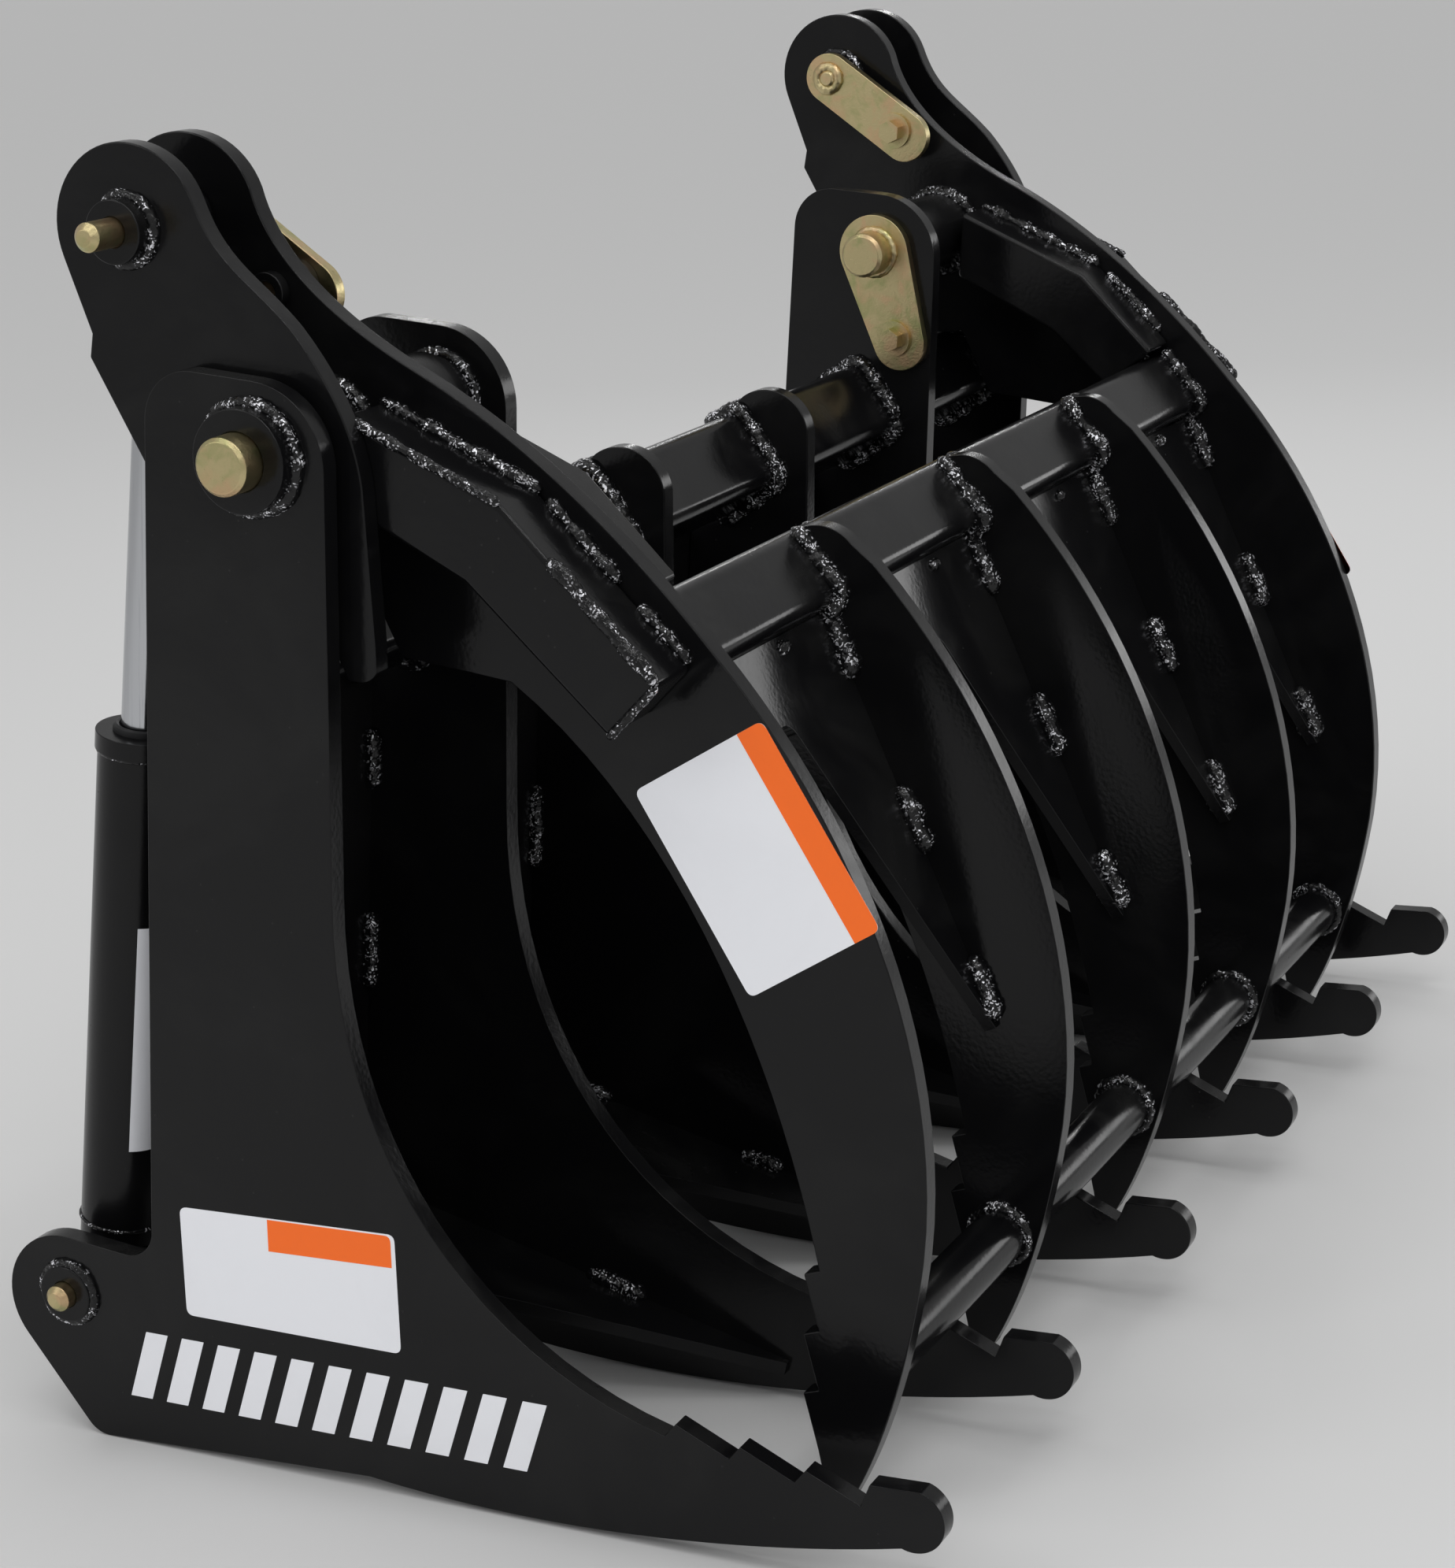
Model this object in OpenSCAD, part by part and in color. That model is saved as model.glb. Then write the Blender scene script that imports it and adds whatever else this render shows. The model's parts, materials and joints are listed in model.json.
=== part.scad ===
// Claw grapple for a compact loader: a lower jaw with six tines, an upper jaw with five,
// and two cylinders that swing the upper jaw open. X runs across, +Y to the tips, +Z up.
// The origin is the centre of the coupler plate's rear face.

/* [Plates] */
// Width over the outer faces of the side plates
overall_w = 1016; // [900:1:1150]
// Thickness of the tines and side plates
plate_t = 12.7; // [9.5:0.1:14]
// Spacing from the side plate to the tower plate
first_gap = 190; // [170:1:205]
// Spacing from the tower plate to the lower inner tine
second_gap = 205; // [180:1:225]
// Depth from the rear edge of the towers to the lower tips
reach = 502; // [460:1:560]
// Height of the jaw pivot above the coupler centre
pivot_z = 310; // [290:1:350]
// Depth of the jaw pivot from the rear edge of the towers
pivot_y = 68; // [62:0.5:74]
// Height of the flat sole, below the coupler centre
sole_drop = 275; // [250:1:300]

/* [Upper jaw] */
// Spacing from the side plate to the upper outer tine
outer_tine_in = 73; // [68:0.5:80]
// Spacing of the three upper middle tines
middle_step = 219; // [200:1:235]
// Clearance from the side plate to the ear
ear_gap = 6; // [3:0.5:9]
// Radius of the ear and the tine around the rod pin
head_r = 46; // [40:0.5:50]
// Radius of the hub around the jaw pivot
hub_r = 78; // [70:0.5:80]
// Height of the rod pin above the jaw pivot
rod_pin_rise = 107; // [98:1:115]
// Distance of the rod pin behind the jaw pivot
rod_pin_back = 92; // [85:1:100]

/* [Cross members] */
// Width of the lower jaw's square tube
back_tube_w = 57; // [45:0.5:60]
// Width of the upper jaw's square tube
upper_tube_w = 50.8; // [44:0.1:56]
// Wall of both square tubes
tube_wall = 6.4; // [4:0.1:9]
// Corner radius of both square tubes
tube_corner = 9.5; // [7:0.1:12]
// Diameter of the round pipe low in the upper jaw
pipe_d = 34; // [28:0.5:40]
// Wall of the round pipe
pipe_wall = 4.5; // [3:0.1:8]
// Thickness of the bent back sheet and the apron
sheet_t = 8; // [5:0.1:10]
// Inner radius of the bend in the back sheet
bend_r = 45; // [35:1:60]
// Thickness of the stiffening boxes beside the upper outer tines
box_wall = 6.4; // [4:0.1:9]
// Width of the inner stiffening box
inner_box_w = 42; // [30:0.5:50]

/* [Pins] */
// Diameter of the jaw pivot pin
pivot_d = 31.8; // [28:0.1:36]
// Diameter of the cylinder pins
pin_d = 16; // [12:0.1:19]
// Radial running clearance of every pin and rod
fit = 0.05; // [0.02:0.01:0.1]
// Wall of the hub tube around the pivot pin
hub_wall = 12; // [8:0.5:14]
// Width of the collar ring around the pivot pin
collar_ring = 12.5; // [9:0.5:14]
// Width of the collar ring around a cylinder pin
small_ring = 9.5; // [7:0.5:11]
// Thickness of the collars welded to the plates
collar_t = 13; // [8:0.5:16]
// Length of the pin end that stands out of a collar
pin_out = 17; // [10:0.5:24]
// Chamfer on the ends of the jaw pivot pins
pin_chamfer = 2.2; // [1:0.1:3]
// Chamfer on the ends of the cylinder pins
taper = 3.4; // [1:0.1:4]
// Thickness of the keeper plates
keeper_t = 8; // [5:0.5:10]
// Diameter of the keeper bolts
bolt_d = 12; // [8:0.5:14]

/* [Cylinders] */
// Bore of the cylinders
bore_d = 38.1; // [32:0.1:42]
// Wall of the barrels
barrel_wall = 6.4; // [4:0.1:8]
// Diameter of the rods
rod_d = 25.4; // [20:0.1:28]
// Outer diameter of the eyes on the cylinders
eye_d = 38; // [32:0.5:42]
// Side clearance of an eye between its plates
eye_side = 1.5; // [0.5:0.1:3]
// Distance from the base pin to the open end of the barrel
barrel_end = 340; // [320:1:360]
// Distance from the base pin back to the tower's rear edge
base_back = 59; // [54:0.5:64]
// Height of the base pin above the sole
base_rise = 61; // [55:0.5:68]
// Radius of the oil port holes
port_r = 6.5; // [5:0.1:8]

/* [Coupler] */
// Height of the coupler plate
coupler_h = 230; // [200:1:260]
// Thickness of the coupler plate
coupler_t = 9.5; // [6:0.1:12]
// Distance between the two latch slots
slot_gap = 360; // [300:1:420]
// Length of each latch slot
slot_l = 60; // [40:1:90]
// Width of each latch slot
slot_w = 22; // [14:0.5:30]
// Depth of the foot behind the coupler plate
foot_back = 60; // [48:1:75]

/* [Hidden] */
$fn = 64;
// Largest turn of one step in a rounded corner, in degrees, and steps in each long curve
corner_turn = 6;
curve_steps = 20;
// Overrun of every cut
over = 2;

black = "#1b1b1d";
gold = "#c8a84a";
bright = "#c9ccd0";
RIGHT = 1;
LEFT = -1;

// Places across, from the middle plane
side_x = (overall_w - plate_t) / 2;
tower_x = side_x - first_gap;
inner_x = tower_x - second_gap;
outer_x = side_x - outer_tine_in;
ear_x = side_x - plate_t - ear_gap;
lower_places = [side_x, tower_x, inner_x, -inner_x, -tower_x, -side_x];
upper_places = [outer_x, middle_step, 0, -middle_step, -outer_x];
outer_face = outer_x + plate_t / 2;
ear_face = ear_x - plate_t / 2;
cylinder_x = (outer_face + ear_face) / 2;
eye_w = ear_face - outer_face - 2 * eye_side;

// Axes in the side plane, as [depth, height]
pivot = [pivot_y, pivot_z];
rod_pin = pivot + [-rod_pin_back, rod_pin_rise];
base_pin = [-base_back, base_rise - sole_drop];
jaw_h = pivot_z + sole_drop;

// A point in the side plane from its share of the reach and its share of the drop from pivot to sole
function at(s) = [s.x * reach, pivot_z - s.y * jaw_h];
function shares(p) = [for (s = p) at(s)];
function turn(a) = [cos(a), sin(a)];
function arc(c, r, a, b) = let (steps = ceil(abs(b - a) / corner_turn))
    [for (i = [0:steps]) c + r * turn(a + (b - a) * i / steps)];
function mix(a, b, t) = a + (b - a) * t;
function cubic(p, t) = pow(1 - t, 3) * p[0] + 3 * t * pow(1 - t, 2) * p[1]
    + 3 * t * t * (1 - t) * p[2] + pow(t, 3) * p[3];
function curve(p) = [for (i = [0:curve_steps]) cubic(p, i / curve_steps)];
// Direction square to the line that touches two circles on the same side
function touch(c, r, d, q, side) = atan2(d.y - c.y, d.x - c.x) + side * acos((r - q) / norm(d - c));
function unit(v) = v / norm(v);
function right_of(v) = [v.y, -v.x];
// Outline of a clockwise shape moved inward by d
function inset(p, d) = [for (i = [0:len(p) - 1])
    let (u = right_of(unit(p[i] - p[(i + len(p) - 1) % len(p)])),
         v = right_of(unit(p[(i + 1) % len(p)] - p[i])))
    p[i] + d / (1 + u * v) * (u + v)];

// Lower tines: front edge of the tower, curve, teeth, tip and sole
cap_r = 45;
cap_top = 41;
cap_c = pivot + [0, cap_top - cap_r];
rear_corner_r = 30;
front_shares = [[0.241, 0.410], [0.247, 0.658], [0.428, 0.829], [0.671, 0.860]];
notch_share = [0.904, 0.872];
notch = at(notch_share);
tooth_count = 3;
tooth_run = 6;
tooth_rise = 9;
tip_r = 18.5;
tip_step_share = [0.22, 0.76];
tip_centre = [reach - tip_r, notch.y];
under_shares = [[0.797, 0.950], [0.558, 1.000], [0.299, 1.000]];
front_edge = curve(shares(front_shares));
tooth_first = at(front_shares[3]);
lower_teeth = [for (i = [0:tooth_count - 1]) let (root = mix(tooth_first, notch, i / tooth_count))
    each [root, root + [tooth_run, tooth_rise]]];
lower_tip = concat([notch, notch + tip_r * tip_step_share], arc(tip_centre, tip_r, 80, -105));
sole_edge = curve(concat([tip_centre + tip_r * turn(-105)], shares(under_shares)));
sole = at(under_shares[2]);
// From the tower's cap forward and round to the sole
lower_front = concat(arc(cap_c, cap_r, 90, 2), front_edge, lower_teeth, lower_tip, sole_edge);
tower_rear_top = arc([rear_corner_r, pivot_z + cap_top - rear_corner_r], rear_corner_r, 180, 90);

// Heel of the side plates, which carries the cylinder's base pin
lug_r = 42;
lug_share = [-0.02, -0.17];
lug_c = base_pin + lug_r * lug_share;
toe_r = 17.5;
toe_share = [-1.9, -0.57];
toe_c = [0, -sole_drop] + toe_r * toe_share;
heel_fillet = 19;
heel_fillet_c = [-heel_fillet, lug_c.y + lug_r + heel_fillet];
lug_to_toe = touch(lug_c, lug_r, toe_c, toe_r, -1);
toe_to_sole = touch(toe_c, toe_r, sole, 0, -1);
heel = concat(
    arc(toe_c, toe_r, toe_to_sole, lug_to_toe),
    arc(lug_c, lug_r, lug_to_toe, -270),
    arc(heel_fillet_c, heel_fillet, -90, 0));
// Rear lower corner of the towers without a heel
back_corner_r = 100;
back_corner_share = 1.1;
back_corner_c = [back_corner_r, back_corner_share * back_corner_r - sole_drop];
back_corner = arc(back_corner_c, back_corner_r, -90, -180);

// Cross tubes, as centre and turn of the square
back_tube_share = [0.110, 0.210];
back_tube_c = at(back_tube_share);
back_tube_turn = 40;
upper_tube_share = [0.504, 0.176];
upper_tube_c = at(upper_tube_share);
upper_tube_turn = 45;
pipe_share = [0.831, 0.822];
pipe_c = at(pipe_share);

// Bent back sheet
sheet_y = 27;
sheet_top_share = 0.299;
sheet_top = pivot_z - sheet_top_share * jaw_h;
sheet_slope = 8.5;
bend_share = 0.797;
bend_c = [sheet_y + bend_r, pivot_z - bend_share * jaw_h];
sheet_end_share = 0.647;
sheet_end_y = sheet_end_share * reach;
bend_end = bend_c + bend_r * turn(-90 - sheet_slope);
sheet_tip = [sheet_end_y, bend_end.y - (sheet_end_y - bend_end.x) * tan(sheet_slope)];
sheet_down = sheet_t * turn(-90 - sheet_slope);
sheet_front = concat([[sheet_y, sheet_top]], arc(bend_c, bend_r, -180, -90 - sheet_slope), [sheet_tip]);
sheet_rear = concat([sheet_tip + sheet_down], arc(bend_c, bend_r + sheet_t, -90 - sheet_slope, -180),
    [[sheet_y - sheet_t, sheet_top]]);
notch_r = 12;
sheet_apex_share = 0.205;
sheet_apex_y = sheet_apex_share * reach;
finger_blunt = 4;

// Rounded head of the lower inner tines over the back tube
small_head_r = 31;
small_head_share = [0.87, 0.81];
small_neck_share = [-0.1, 1.23];
small_head_c = back_tube_c + small_head_r * small_head_share;

// Upper tines: outer edge, tip, teeth and hollow edge
edge_a_shares = [[0.241, -0.072], [0.378, -0.026], [0.508, 0.055], [0.610, 0.140]];
edge_b_shares = [[0.610, 0.140], [0.777, 0.270], [0.906, 0.470], [0.898, 0.684]];
edge_c_shares = [[0.898, 0.684], [0.892, 0.780], [0.870, 0.880], [0.834, 0.949]];
upper_tip_r = 8;
upper_tip_share = [0.819, 0.945];
upper_last_share = [0.789, 0.905];
upper_tip_c = at(upper_tip_share);
upper_tooth_share = [-1, -0.45];
hollow_shares = [[0.777, 0.720], [0.721, 0.547], [0.598, 0.316], [0.373, 0.207]];
upper_root = at(hollow_shares[0]);
upper_last = at(upper_last_share);
upper_teeth = [for (i = [tooth_count:-1:1])
    each [mix(upper_root, upper_last, i / tooth_count),
          mix(upper_root, upper_last, (i - 1) / tooth_count) + tooth_rise * upper_tooth_share]];
hollow_edge = curve(shares(hollow_shares));
upper_low = concat(
    curve(shares(edge_b_shares)), curve(shares(edge_c_shares)),
    arc(upper_tip_c, upper_tip_r, -20, -160), upper_teeth);

// Hub, rear edge and head shared by the outer tines and the ears
hub_foot_share = [0.235, 0.203];
step_low_share = [-0.54, -1.57];
step_high_share = [-0.51, -1.28];
hub_foot = at(hub_foot_share);
step_low = rod_pin + head_r * step_low_share;
step_high = rod_pin + head_r * step_high_share;
hub_arc_end = touch(pivot, hub_r, step_low, 0, 1) - 360;
head_arc_start = touch(rod_pin, head_r, step_high, 0, -1) + 360;
head_arc_end = 25;
hub_rear = concat(
    [hub_foot], arc(pivot, hub_r, -72, hub_arc_end), [step_low, step_high],
    arc(rod_pin, head_r, head_arc_start, head_arc_end));
neck_start = rod_pin + head_r * turn(head_arc_end);
neck_shares = [[1.17, -0.37], [2.09, -0.98]];
outer_outline = concat(
    curve([neck_start, rod_pin + head_r * neck_shares[0], rod_pin + head_r * neck_shares[1],
        at(edge_a_shares[0])]),
    curve(shares(edge_a_shares)), upper_low, hollow_edge, hub_rear);
ear_corner_r = 12;
ear_corner_share = [0.5, 1];
ear_neck_shares = [[1.22, -0.26], [1.61, -0.33]];
ear_brow_shares = [[0.13, 0.87], [0.47, 0.54], [0.67, 0.19], [0.73, -0.15], [0.85, -1.23]];
ear_brow = [for (s = ear_brow_shares) pivot + hub_r * s];
ear_outline = concat(
    curve([neck_start, rod_pin + head_r * ear_neck_shares[0], rod_pin + head_r * ear_neck_shares[1],
        ear_brow[0]]),
    curve(ear_brow), [ear_brow[4]],
    arc(hub_foot + ear_corner_r * ear_corner_share, ear_corner_r, -20, -90), hub_rear);

// Upper middle tines: rounded head over the upper tube
top_head_r = 28;
top_head_share = [0.68, 0.39];
middle_stop_share = 0.72;
top_head_c = upper_tube_c + top_head_r * top_head_share;
middle_outline = concat(
    [upper_tube_c], arc(top_head_c, top_head_r, 150, 45),
    upper_low, [for (i = [0:floor(middle_stop_share * curve_steps)]) hollow_edge[i]]);

// Stiffening boxes beside the outer tines
box_shares = [
    [0.203, -0.038], [0.400, 0.021], [0.590, 0.159], [0.536, 0.215], [0.359, 0.097], [0.203, 0.044]];
box_outline = shares(box_shares);

// Apron: a flat plate from the upper tube down the tines, in its own plane
apron_turn = -61.3;
apron_share = [0.486, -0.222];
apron_top = upper_tube_c + upper_tube_w * apron_share;
apron_length_share = 0.53;
apron_apex_share = 0.093;
apron_l = apron_length_share * reach;
apron_apex = apron_apex_share * reach;

// Keepers and bolts
pivot_keeper_r = 27;
pivot_keeper_end_r = 20;
pivot_end_share = [0.92, -2.39];
pivot_bolt_share = [0.78, -2.26];
pin_keeper_r = 18.5;
rod_end_share = [3.51, -2.03];
rod_bolt_share = [3.08, -1.81];
base_end_share = [2.5, 0.7];
base_bolt_share = [2.3, 0.64];
bolt_flange_share = 1.1;
bolt_hex_share = 0.72;
bolt_head_share = 0.75;
flange_share = 0.24;
pivot_bolt_at = pivot + pivot_keeper_r * pivot_bolt_share;
rod_bolt_at = rod_pin + pin_keeper_r * rod_bolt_share;
base_bolt_at = base_pin + pin_keeper_r * base_bolt_share;
inner_face = outer_x - plate_t / 2;
tower_in = tower_x - plate_t / 2;
tower_out = tower_x + plate_t / 2;
lug_x = 2 * cylinder_x - side_x;

// Collars, pin ends and play across
boss_ring = 8.5;
thin_collar_t = 5;
stud_collar_t = 10;
nut_ring = 5;
nut_t = 8;
side_play = 0.8;
pivot_inner_out = 22;
rod_pin_out = 25;
base_out = 10;
rod_in = inner_face - stud_collar_t;
ear_out = ear_x + plate_t / 2;

// Cylinder at rest, along the line from the base pin to the rod pin
rest_l = norm(rod_pin - base_pin);
lean = atan2(rod_pin.x - base_pin.x, rod_pin.y - base_pin.y);
barrel_d = bore_d + 2 * barrel_wall;
eye_seat = 0.5;
barrel_start = eye_d / 2 + eye_seat;
cap_t = 16;
gland_l = 11;
gland_out = 1.6;
gland_in = 31;
piston_l = 25;
piston_stop = 18;
rod_gap = 2;
neck_l = 14;
neck_d = 32;
port_out = 13;
port_wall = 5;
port_low = 72;
port_down = 37;
port_seat = 1.5;
// Turn of the ports from straight inboard toward the rear
port_turn = 15;
port_high = barrel_end - gland_l - port_down;

// Solid from a side outline, centred on a place across
module slab(x, t = plate_t) {
    translate([x - t / 2, 0, 0]) rotate([90, 0, 90]) linear_extrude(t) children();
}

// Cylinder along X from one place to another
module bar(c, r, x0, x1) {
    translate([min(x0, x1), c.x, c.y]) rotate([0, 90, 0]) cylinder(r = r, h = abs(x1 - x0));
}

module ring(c, r, hole, x0, x1) {
    difference() {
        bar(c, r, x0, x1);
        bar(c, hole, min(x0, x1) - over, max(x0, x1) + over);
    }
}

// Square with rounded corners, turned about its centre
module round_square(c, w, r, a) {
    k = w / 2 - r;
    translate(c) rotate(a) union() {
        square([w, 2 * k], center = true);
        square([2 * k, w], center = true);
        for (x = [-k, k], y = [-k, k]) translate([x, y]) circle(r);
    }
}

module square_tube(c, w, a, length) {
    color(black) slab(0, length) difference() {
        round_square(c, w, tube_corner, a);
        round_square(c, w - 2 * tube_wall, tube_corner - tube_wall, a);
    }
}

module tube_hole(c, w, a, x) {
    slab(x, plate_t + 2 * over) round_square(c, w, tube_corner, a);
}

// Chamfered pin along X
module pin(c, r, chamfer, x0, x1) {
    low = min(x0, x1);
    high = max(x0, x1);
    color(gold) {
        bar(c, r, low + chamfer, high - chamfer);
        translate([high - chamfer, c.x, c.y]) rotate([0, 90, 0])
            cylinder(r1 = r, r2 = r - chamfer, h = chamfer);
        translate([low, c.x, c.y]) rotate([0, 90, 0])
            cylinder(r1 = r - chamfer, r2 = r, h = chamfer);
    }
}

// Two circles and the straight sides that touch both
function link(c, r, d, q) = concat(
    arc(c, r, touch(c, r, d, q, 1), touch(c, r, d, q, -1) + 360),
    arc(d, q, touch(c, r, d, q, -1), touch(c, r, d, q, 1)));

module keeper(c, r, d, q, pin_r, bolt, x0, x1) {
    color(gold) difference() {
        slab((x0 + x1) / 2, abs(x1 - x0)) polygon(link(c, r, d, q));
        bar(c, pin_r, min(x0, x1) - over, max(x0, x1) + over);
        bar(bolt, bolt_d / 2, min(x0, x1) - over, max(x0, x1) + over);
    }
}

// Flange bolt along X with its head toward the middle plane
module flange_bolt(c, side, x_face, x_end) {
    flange = flange_share * bolt_d;
    color(gold) {
        bar(c, bolt_d / 2, x_face, x_end);
        bar(c, bolt_flange_share * bolt_d, x_face, x_face - side * flange);
        translate([x_face - side * flange, c.x, c.y]) rotate([0, -side * 90, 0])
            cylinder(r = bolt_hex_share * bolt_d, h = bolt_head_share * bolt_d, $fn = 6);
    }
}

// Lower jaw plates
module pivot_hole(x, r) {
    bar(pivot, r, x - plate_t, x + plate_t);
}

module side_plate(side) {
    x = side * side_x;
    color(black) difference() {
        slab(x) polygon(concat(tower_rear_top, lower_front, heel));
        pivot_hole(x, pivot_d / 2 + fit);
        bar(base_pin, pin_d / 2 + fit, x - plate_t, x + plate_t);
    }
}

module tower_plate(side) {
    x = side * tower_x;
    color(black) difference() {
        slab(x) polygon(concat(tower_rear_top, lower_front, back_corner));
        pivot_hole(x, pivot_d / 2 + fit);
        bar(pivot_bolt_at, bolt_d / 2, x - plate_t, x + plate_t);
        tube_hole(back_tube_c, back_tube_w, back_tube_turn, x);
    }
}

module lower_tine(side) {
    x = side * inner_x;
    rear_low = back_corner_c.y - sqrt(pow(back_corner_r, 2) - pow(back_corner_r - sheet_y, 2));
    rear_angle = -180 + acos((back_corner_r - sheet_y) / back_corner_r);
    color(black) difference() {
        slab(x) polygon(concat(
            [[sheet_y, sheet_top + sheet_t], back_tube_c, back_tube_c + small_head_r * small_neck_share],
            arc(small_head_c, small_head_r, 130, 10),
            front_edge, lower_teeth, lower_tip, sole_edge,
            arc(back_corner_c, back_corner_r, -90, rear_angle),
            [[sheet_y, rear_low]]));
        tube_hole(back_tube_c, back_tube_w, back_tube_turn, x);
    }
}

// Opening between two fingers, rounded at the top of the slit: u is across, v along the finger
module finger_gap(u0, u1, v_apex, v_end) {
    c = [(u0 + u1) / 2, v_apex + notch_r];
    low = [min(u0, u1), v_end];
    high = [max(u0, u1), v_end];
    polygon(concat(
        arc(c, notch_r, touch(c, notch_r, high, 0, -1), touch(c, notch_r, low, 0, 1) - 360),
        [low, low + [0, 2 * notch_r], high + [0, 2 * notch_r], high]));
}

module back_sheet() {
    half = side_x - plate_t / 2;
    color(black) difference() {
        slab(0, 2 * half) polygon(concat(sheet_front, sheet_rear));
        for (i = [0:len(lower_places) - 2]) {
            translate([0, 0, -2 * sole_drop]) linear_extrude(2 * sole_drop)
                finger_gap(lower_places[i] - plate_t / 2 - finger_blunt,
                    lower_places[i + 1] + plate_t / 2 + finger_blunt, sheet_apex_y, sheet_end_y);
        }
        for (x = lower_places) lower_cut(x);
    }
}

// What a lower plate takes out of the sheet
module lower_cut(x) {
    if (abs(x) == inner_x) {
        slab(x) polygon([[sheet_y, 2 * pivot_z], [sheet_y, -2 * sole_drop],
            [2 * reach, -2 * sole_drop], [2 * reach, 2 * pivot_z]]);
    } else {
        slab(x) square([2 * reach, 4 * sole_drop], center = true);
    }
}

module back_tube() {
    square_tube(back_tube_c, back_tube_w, back_tube_turn, overall_w - 2 * plate_t);
}

// Coupler
coupler_w = 2 * (tower_x - plate_t / 2);
hook_t = 12.7;
hook_out = 25;
hook_relief = 3;

module coupler_plate() {
    color(black) translate([-coupler_w / 2, 0, -coupler_h / 2]) cube([coupler_w, coupler_t, coupler_h]);
}

module coupler_hook() {
    low = coupler_h / 2;
    top = low + hook_relief;
    k = hook_t * sqrt(2);
    color(black) slab(0, coupler_w) polygon([
        [coupler_t, low], [0, low], [0, top], [-hook_out, top - hook_out],
        [-hook_out - k / 2, top - hook_out + k / 2], [0, top + k], [coupler_t, top + k]]);
}

module coupler_foot() {
    low = -coupler_h / 2;
    color(black) difference() {
        translate([-coupler_w / 2, -foot_back, low - hook_t])
            cube([coupler_w, foot_back + coupler_t, hook_t]);
        for (x = [-slot_gap / 2, slot_gap / 2]) translate([x, -foot_back / 2, low - hook_t - over]) {
            k = (slot_l - slot_w) / 2;
            translate([-k, -slot_w / 2, 0]) cube([2 * k, slot_w, hook_t + 2 * over]);
            for (s = [-k, k]) translate([s, 0, 0]) cylinder(d = slot_w, h = hook_t + 2 * over);
        }
    }
}

module coupler_ribs() {
    color(black) for (s = [-1, 1]) translate([s * slot_gap / 2 - plate_t / 2, coupler_t, -coupler_h / 2])
        cube([plate_t, sheet_y - sheet_t - coupler_t, coupler_h]);
}

// Lugs inboard of the cylinders, with the outline of the heel
module base_lugs() {
    color(black) for (s = [-1, 1]) difference() {
        slab(s * lug_x) polygon(concat(heel, [[0, -coupler_h / 2], [sheet_y, -coupler_h / 2],
            [bend_c.x, bend_c.y], [bend_c.x, -sole_drop]]));
        slab(s * lug_x, 2 * plate_t) polygon(concat(
            [sheet_front[0] + [reach, 0]], [sheet_tip + [reach, 0]], sheet_rear));
        bar(base_pin, pin_d / 2 + fit, s * lug_x - plate_t, s * lug_x + plate_t);
        bar(base_bolt_at, bolt_d / 2, s * lug_x - plate_t, s * lug_x + plate_t);
    }
}

module pivot_collars() {
    r = pivot_d / 2 + collar_ring;
    color(black) for (s = [-1, 1]) {
        ring(pivot, r, pivot_d / 2 + fit, s * overall_w / 2, s * (overall_w / 2 + collar_t));
        ring(pivot, pivot_d / 2 + boss_ring, pivot_d / 2 + fit, s * tower_out, s * (tower_out + collar_t));
    }
}

module base_collars() {
    r = pin_d / 2 + small_ring;
    color(black) for (s = [-1, 1]) {
        for (x = [
            [overall_w / 2, overall_w / 2 + thin_collar_t],
            [side_x - plate_t / 2, cylinder_x + eye_w / 2 + eye_side],
            [lug_x + plate_t / 2, cylinder_x - eye_w / 2 - eye_side],
        ]) ring(base_pin, r, pin_d / 2 + fit, s * x[0], s * x[1]);
    }
}

// Pins, keepers and bolts of the lower jaw
module pivot_pin(side) {
    pin(pivot, pivot_d / 2, pin_chamfer, side * (overall_w / 2 + collar_t + pin_out),
        side * (tower_in - keeper_t - pivot_inner_out));
}

module pivot_keepers() {
    for (s = [-1, 1])
        keeper(pivot, pivot_keeper_r, pivot + pivot_keeper_r * pivot_end_share, pivot_keeper_end_r,
            pivot_d / 2, pivot_bolt_at, s * tower_in, s * (tower_in - keeper_t));
}

module pivot_bolts() {
    for (s = [-1, 1])
        flange_bolt(pivot_bolt_at, s, s * (tower_in - keeper_t), s * (tower_out + bolt_d / 2));
}

lug_in = lug_x - plate_t / 2;
module base_pin_node(side) {
    pin(base_pin, pin_d / 2, taper, side * (overall_w / 2 + thin_collar_t + base_out),
        side * (lug_in - keeper_t - thin_collar_t));
}

module base_keepers() {
    for (s = [-1, 1]) keeper(base_pin, pin_keeper_r, base_pin + pin_keeper_r * base_end_share, pin_keeper_r,
        pin_d / 2, base_bolt_at, s * lug_in, s * (lug_in - keeper_t));
}

module base_bolts() {
    for (s = [-1, 1]) flange_bolt(base_bolt_at, s, s * (lug_in - keeper_t), s * (lug_x + plate_t));
}

// Upper jaw plates
hub_tube_r = pivot_d / 2 + hub_wall;
module outer_tine(side) {
    x = side * outer_x;
    color(black) difference() {
        slab(x) polygon(outer_outline);
        bar(pivot, hub_tube_r, x - plate_t, x + plate_t);
        bar(rod_pin, pin_d / 2 + fit, x - plate_t, x + plate_t);
        bar(rod_bolt_at, bolt_d / 2, x - plate_t, x + plate_t);
    }
}

module ear(side) {
    x = side * ear_x;
    color(black) difference() {
        slab(x) polygon(ear_outline);
        bar(pivot, hub_tube_r, x - plate_t, x + plate_t);
        bar(rod_pin, pin_d / 2 + fit, x - plate_t, x + plate_t);
    }
}

module upper_tine(x) {
    color(black) difference() {
        slab(x) polygon(middle_outline);
        tube_hole(upper_tube_c, upper_tube_w, upper_tube_turn, x);
        bar(pipe_c, pipe_d / 2, x - plate_t, x + plate_t);
    }
}

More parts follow.
